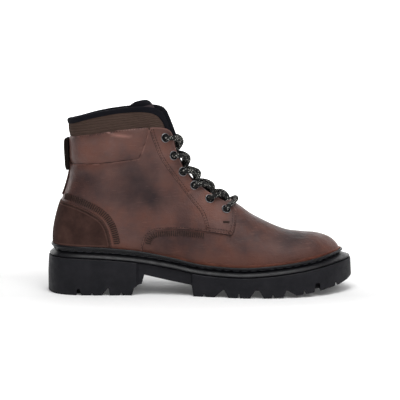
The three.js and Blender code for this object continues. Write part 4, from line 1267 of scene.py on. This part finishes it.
def rounded(stations, steps):
    """A smooth line through stations whose spacing differs a lot (centripetal knots)."""
    p = np.array(stations, float)
    p = np.vstack([2 * p[0] - p[1], p, 2 * p[-1] - p[-2]])
    out = []
    for i in range(1, len(p) - 2):
        p0, p1, p2, p3 = p[i - 1 : i + 3]
        t0 = 0.0
        t1 = t0 + np.linalg.norm(p1 - p0) ** 0.5
        t2 = t1 + np.linalg.norm(p2 - p1) ** 0.5
        t3 = t2 + np.linalg.norm(p3 - p2) ** 0.5
        for t in np.linspace(t1, t2, steps, endpoint=False):
            a1 = (t1 - t) / (t1 - t0) * p0 + (t - t0) / (t1 - t0) * p1
            a2 = (t2 - t) / (t2 - t1) * p1 + (t - t1) / (t2 - t1) * p2
            a3 = (t3 - t) / (t3 - t2) * p2 + (t - t2) / (t3 - t2) * p3
            b1 = (t2 - t) / (t2 - t0) * a1 + (t - t0) / (t2 - t0) * a2
            b2 = (t3 - t) / (t3 - t1) * a2 + (t - t1) / (t3 - t1) * a3
            out.append((t2 - t) / (t2 - t1) * b1 + (t - t1) / (t2 - t1) * b2)
    out.append(p[-2])
    return np.array(out)


def lace():
    line = rounded(lace_route(), 8)
    line = resample(line, int(length_of(line)[-1] / 0.9))
    points, faces, route = tube(line, LACE_SHOWN_RADIUS, 16)
    piece("lace_cord", points, faces, LACE, slot="lace_cord", replaces=["lace"], data={"route": route})
    for name, side in SIDES.items():
        placed = FRAMES[name][0]
        start = placed["at"] + placed["normal"] * (STRAND["below"] - 0.2)
        way = [start] + [(x, SHAFT_MIDDLE + side * y, z) for x, y, z in TAIL_ROUTE]
        line = resample(rounded(way, 10), 90)
        points, faces, route = tube(line, LACE_RADIUS, 14)
        tail = piece(f"lace_end_{name}", points, faces, LACE, slot="lace_cord",
                     replaces=[f"lace_tail_{name}"], data={"route": route})
        end = line[-1]
        tip_line = np.array([end + (0, 0, 1.0 - d) for d in np.linspace(0, 19, 12)])
        radii = np.concatenate([[1.9, 2.25, 2.0], np.full(7, 1.75), [1.7, 1.2]])
        points, faces, route = tube(tip_line, radii, 20)
        tip = piece(f"lace_tip_{name}", points, faces, TIP, slot="lace_tip", replaces=[f"aglet_{name}"],
                    flat_angle=40)


for side_name in SIDES:
    eyelets(side_name)
lace()

# ---------------------------------------- pull loop

LOOP_BACK = BACK_LINE[3][0] - 1.6
LOOP_HALF_WIDE, LOOP_HALF_THICK = 8.6, 1.15
LOOP_WAY = [  # distance behind LOOP_BACK, z
    (-1.2, 150.3), (1.4, 151.2), (3.4, 149.8), (3.7, 144), (3.4, 134), (3.0, 126), (2.0, 121.3),
    (0.9, 122.3), (1.0, 127), (1.3, 135), (1.3, 149),
]


def pull_loop():
    """A strap doubled on itself that lies close to the heel."""
    way = [(LOOP_BACK - out, z) for out, z in LOOP_WAY]
    line = resample(smooth(way, 10), 80)
    tangent = unit(np.gradient(line, axis=0))
    out = np.stack([-tangent[:, 1], tangent[:, 0]], 1)
    phase = full_turn(32)
    wide, thick = LOOP_HALF_WIDE, LOOP_HALF_THICK
    rings = []
    for (x, z), (nx, nz) in zip(line, out):
        y = wide * squared(np.cos(phase), 0.35)
        hem = 1 + 0.25 * (np.abs(np.abs(y) - wide) < 1.6)
        off = thick * squared(np.sin(phase), 0.35) * hem
        rings.append(np.stack([x + nx * off, y, z + nz * off], 1))
    solid("pull_loop_strap", rings, capped_faces(len(rings), len(phase)), WEBBING,
          slot="webbing", replaces=["pull_loop"])


pull_loop()

# ---------------------------------------- sole


def ring_band(name, profile, material, slot, replaces, flat_angle):
    """A closed band round the boot. profile is a closed loop of (inset, height over the feather line)."""
    rings = []
    for inset, height in profile:
        loop = inset_outline(inset)
        lift = height(OUTLINE[:, 0]) if callable(height) else height
        rings.append(np.column_stack([loop, feather(loop[:, 0]) + lift]))
    faces = loft_faces(len(rings), len(OUTLINE), True, True)
    solid(name, rings, faces, material, slot=slot, replaces=replaces, flat_angle=flat_angle)


def bead_point(angle):
    cos, sin = math.cos(math.radians(angle)), math.sin(math.radians(angle))
    inset = lambda x: 5.0 + at_toe(x) - bead_radius(x) * cos
    return inset, lambda x: bead_height(x) + bead_radius(x) * sin


def set_in(inset, share=1.0):
    return lambda x: inset + at_toe(x) * share


def under_bead(amount):
    return lambda x: bead_height(x) + amount


FLARE = [(7.8, 1.0, -4.8), (6.9, 0.9, -5.7), (5.4, 0.7, -6.7), (3.7, 0.4, -7.9), (2.5, 0.2, -9.0)]


def sole_upper_part():
    bead = [bead_point(angle) for angle in np.linspace(-80, 100, 12)]
    hidden = lambda x: upper_inset(x) + 1.4
    welt = [(set_in(9.5), -5.0), (set_in(6.4), -5.0), (set_in(6.2), under_bead(-1.6))] + bead
    welt += [(hidden, under_bead(0.4)), (hidden, -4.4)]
    ring_band("welt_band", welt, GLOSSY, "gloss_rubber", ["welt"], 60)
    flare = [(set_in(inset, share), height) for inset, share, height in FLARE]
    lip = [(2.1, -9.5), (1.8, -10.0), (2.0, -10.5), (2.9, -10.8)]
    band = [(set_in(10.2), -4.4)] + flare + lip + [(3.4, -11.3), (22, -11.3), (22, -4.4)]
    ring_band("midsole_band", band, GLOSSY, "gloss_rubber", ["midsole"], 50)


UNDERSIDE = [
    (-160, 1.5), (-140, 0), (-66.5, 0), (-64.5, 7), (-61, 10), (-57, 11), (-54.5, 20), (-30, 14.5),
    (-8, 10.5), (-6.5, 0), (60, 0), (84, 1.2), (112, 4.5), (138, 9), (147, 12), (160, 19),
]
# Each groove is cut along Y: where it starts, the two ends of its roof, where it ends, and its depth.
BLIND_FROM = 27  # the two blind slots stop this far from the middle
BLIND_SLOTS = [(-121, -120.4, -117.4, -116.4, 6.2), (111.6, 112.2, 116.4, 117.4, 8.0)]
GROOVES = [
    (-95.4, -90.2, -89.2, -88.2, 7.0), (14.6, 22.2, 23.4, 27.2, 7.6),
    (48.4, 53.2, 57.0, 61.4, 7.8), (81.4, 83.2, 84.6, 93.8, 6.0),
]
SIPES = [(-105.5, 1.8), (-77, 2.6), (4, 2.2), (37.6, 4.2), (70.5, 2.8), (101.5, 3.2), (134, 3.0)]
SIPE_WIDTH, LUG_CHAMFER = 2.2, 0.5
WAIST, WAIST_SET_IN = (-61.8, -8.2), 2.8
TREAD_LEVELS = [  # inset and height over the feather line; None is a flat ring under the ground
    (0.0, None), (0.1, -28.0), (0.9, -13.0), (1.1, -12.2), (1.7, -11.6), (2.6, -11.4), (4.2, -11.6),
    (12, -11.6),
]


def prism(outline, low=-80.0, high=80.0):
    """Points and faces of a side-view outline as a wall from low to high in Y."""
    outline = np.asarray(outline, float)
    n = len(outline)
    points = [(x, low, z) for x, z in outline] + [(x, high, z) for x, z in outline]
    faces = [tuple(range(n)), tuple(range(2 * n - 1, n - 1, -1))]
    faces += [(i, i + n, (i + 1) % n + n, (i + 1) % n) for i in range(n)]
    return points, faces


def cutter(points, faces):
    return solid("cutter", points, faces, RUBBER, body=None)


def subtract(target, tool):
    modifier = target.modifiers.new("cut", "BOOLEAN")
    modifier.operation = "DIFFERENCE"
    modifier.solver = "EXACT"
    modifier.object = tool
    depsgraph = bpy.context.evaluated_depsgraph_get()
    result = bpy.data.meshes.new_from_object(target.evaluated_get(depsgraph))
    target.modifiers.clear()
    target.data = result
    bpy.data.objects.remove(tool)


def outsole():
    underside_at = lambda x: np.interp(x, *np.array(UNDERSIDE, float).T)

    def waist(amount):
        starts = lambda x: np.clip((x - WAIST[0] + 0.4) / 0.8, 0, 1)
        ends = lambda x: np.clip((WAIST[1] + 0.4 - x) / 0.8, 0, 1)
        return lambda x: amount + WAIST_SET_IN * (starts(x) * ends(x))

    rings = []
    for inset, height in TREAD_LEVELS:
        loop = np.roll(inset_outline(waist(inset)), -HEEL_INDEX, 0)
        z = np.full(len(loop), -10.0) if height is None else feather(loop[:, 0]) + height
        rings.append(np.column_stack([loop, z]))
    count, around = len(rings), len(OUTLINE)
    faces = loft_faces(count, around) + side_caps(count, around)
    made = solid("outsole_tread", rings, faces, RUBBER, slot="rubber", replaces=["outsole"])
    subtract(made, cutter(*prism([(-170, -20), (170, -20)] + UNDERSIDE[::-1])))
    half = SIPE_WIDTH / 2
    slots = [(x - half, x - half * 0.6, x + half * 0.6, x + half, deep) for x, deep in SIPES]
    cuts = [(slot, -80, 80) for slot in GROOVES + slots]
    for slot in BLIND_SLOTS:
        cuts += [(slot, -80, -BLIND_FROM), (slot, BLIND_FROM, 80)]
    for (start, roof_start, roof_end, end, deep), low, high in cuts:
        z = float(underside_at((start + end) / 2))
        before, after = start - LUG_CHAMFER, end + LUG_CHAMFER
        profile = [
            (before, z - 12), (before, z), (start, z + LUG_CHAMFER), (roof_start, z + deep),
            (roof_end, z + deep), (end, z + LUG_CHAMFER), (after, z), (after, z - 12),
        ]
        subtract(made, cutter(*prism(profile, low, high)))
    made.data.shade_smooth()
    made.data.set_sharp_from_angle(angle=math.radians(28))


sole_upper_part()
outsole()

# ---------------------------------------- stitches


def stitches(name, lines, pitch, length, radius, material, slot, across=False):
    """Short raised threads along lines of (point, outward normal) pairs."""
    phase = full_turn(6)
    stops = np.array([(-0.5, 0.25, -0.35), (-0.36, 0.95, 0.0), (0.36, 0.95, 0.0), (0.5, 0.25, -0.35)])
    thread = loft_faces(len(stops), len(phase)) + [tuple(range(6))[::-1], tuple(range(18, 24))]
    points, faces = [], []
    for spots, normals in lines:
        along = length_of(spots)
        marks = np.arange(pitch / 2, along[-1], pitch)
        value_at = lambda at, rows: np.stack([np.interp(at, along, rows[:, k]) for k in range(3)], 1)
        at, up = value_at(marks, spots), unit(value_at(marks, normals))
        way = unit(value_at(marks + 0.3, spots) - value_at(marks - 0.3, spots))
        cross = unit(np.cross(up, way))
        if across:
            way, cross = cross, way
        for p, n, w, c in zip(at, up, way, cross):
            base = len(points) * len(phase)
            ring = circle(c, n, phase)
            for share, grow, drop in stops:
                points.append(p + w * share * length + n * drop * radius + ring * radius * grow)
            faces += [tuple(i + base for i in f) for f in thread]
    piece(name, np.vstack(points), faces, material, slot=slot)


def on_side(line, side, offset, shift):
    """A side-view line moved sideways by shift, on the upper's surface at an offset."""
    line = np.asarray(line, float)
    tangent = unit(np.gradient(line, axis=0))
    line = line + np.stack([-tangent[:, 1], tangent[:, 0]], 1) * shift
    angle, t = surface_at(line)
    return raised(angle, t, side, np.full(len(line), offset)), upper_normal(angle, t, side)


# Line, layer it lies on, height over the layer, sideways shift and kind of stitch.
SEWN = [
    ("hem_back", "quarter", 0.25, 1.3, "seam"), ("hem_ladder", "vamp", 0.2, -4.4, "ladder"),
    ("hem_front", "eyestay", 0.15, 1.3, "seam"), ("hem_front", "eyestay", 0.15, 3.6, "seam"),
    ("eyestay_seam", "eyestay", 0.2, 1.3, "seam"), ("eyestay_seam", "eyestay", 0.2, 3.4, "seam"),
    ("ankle_seam", "quarter", 0.3, -1.6, "seam"), ("leather_top", "ankle", 1.3, -1.3, "seam"),
    ("counter", "counter", 0.25, -1.2, "counter"), ("counter", "counter", 0.45, -3.0, "counter"),
    ("counter", "quarter", 0.7, 4.9, "ladder"), ("bar_tack", "eyestay", 0.3, 0.0, "bar_tack"),
    ("counter", "quarter", 0.6, 8.0, "seam"),
]
# Pitch, length and radius of the stitches, the slot, and whether they lie across the line.
STITCHES = {
    "seam": (2.7, 2.1, 0.3, "leather", False), "counter": (2.5, 1.9, 0.28, "nubuck", False),
    "ladder": (2.1, 6.0, 0.55, "leather", True), "bar_tack": (0.9, 2.2, 0.45, "leather", True),
}


def sew():
    over_welt = lambda line, gap: line[line[:, 1] > feather(line[:, 0]) + gap]
    hem_back = over_welt(smooth(HEM_BACK, 8), 1)
    lines = {
        "hem_back": hem_back,
        "hem_ladder": hem_back[4:],
        "hem_front": np.vstack([smooth(HEM_FRONT, 8), smooth(THROAT_EDGE, 8)[1:]]),
        "eyestay_seam": smooth(EYESTAY_SEAM, 8)[3:],
        "ankle_seam": between(smooth(ANKLE_SEAM, 8), -118),
        "leather_top": between(smooth(LEATHER_TOP, 8), -118, -50),
        "counter": over_welt(between(smooth(COUNTER_TOP, 8), -134), 2),
        "bar_tack": resample(BAR_TACK, 12),
    }
    sewn = {kind: [] for kind in STITCHES}
    for side in (LATERAL, MEDIAL):
        for line, layer, height, shift, kind in SEWN:
            sewn[kind].append(on_side(lines[line], side, LEVEL[layer] + height, shift))
    for kind, (pitch, length, radius, slot, across) in STITCHES.items():
        stitches(f"{kind}_stitches", sewn[kind], pitch, length, radius, THREAD, slot, across)
    loop = inset_outline(set_in(6.1))
    spots = np.column_stack([loop, feather(loop[:, 0]) - 4.7])
    spots = np.vstack([spots, spots[:1]])
    normals = unit(np.column_stack([OUTLINE_OUT, np.full(len(loop), 0.9)]))
    welt = [(spots, np.vstack([normals, normals[:1]]))]
    stitches("welt_stitches", welt, 8.6, 5.8, 0.6, DARK_THREAD, "gloss_rubber")


sew()

# ---------------------------------------- hidden CAD parts, floor

HIDDEN = {
    "insulation": cloth_look("insulation_felt", (0.3, 0.3, 0.28), (0.45, 0.45, 0.42), 2.0),
    "toe_puff": rubber_look("stiffener_board", (0.35, 0.28, 0.19), (0.45, 0.37, 0.26), 0.7),
    "shank": metal_look("shank_steel", (0.4, 0.4, 0.42), 0.35),
    "bottom_filler": rubber_look("cork_filler", (0.3, 0.19, 0.1), (0.45, 0.3, 0.18), 0.9),
    "insole_board": rubber_look("insole_fibre", (0.33, 0.25, 0.16), (0.43, 0.34, 0.22), 0.85),
}
HIDDEN["heel_stiffener"] = HIDDEN["toe_puff"]
for node_name, material in HIDDEN.items():
    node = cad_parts[node_name]
    node.data.materials.clear()
    node.data.materials.append(material)


def stage_sheet(name, line, half_width=6000.0):
    """A pale sheet of the studio: a side-view line of (y, z, glow) drawn out along X."""
    look = Look(name, (0.92, 0.92, 0.92), 0.9, Specular_IOR_Level=0.0)
    look.shader.inputs["Emission Color"].default_value = (1, 1, 1, 1)
    look.to("Emission Strength", look.attribute("glow"))
    rows = np.array([[(-half_width, y, z), (half_width, y, z)] for y, z, _ in line])
    glow = np.repeat([row[2] for row in line], 2)
    faces = [f[::-1] for f in loft_faces(len(rows), 2, False, False)]
    piece(name, rows.reshape(-1, 3), faces, look.material, body=None, data={"glow": glow})


# The floor glows less under the boot, so that the shadow shows there.
FLOOR_LINE = [
    (-3000, 0, 0.9), (-700, 0, 0.5), (-130, 0, 0.3), (-40, 0, 0.06), (60, 0, 0.06), (200, 0, 0.3),
    (700, 0, 0.7), (2600, 0, 0.9),
]
stage_sheet("floor", FLOOR_LINE)
BACKDROP_LINE = [(2600, 0), (2900, 40), (3100, 200), (3200, 500), (3200, 3500)]
stage_sheet("backdrop", [(y, z, 0.9) for y, z in BACKDROP_LINE])
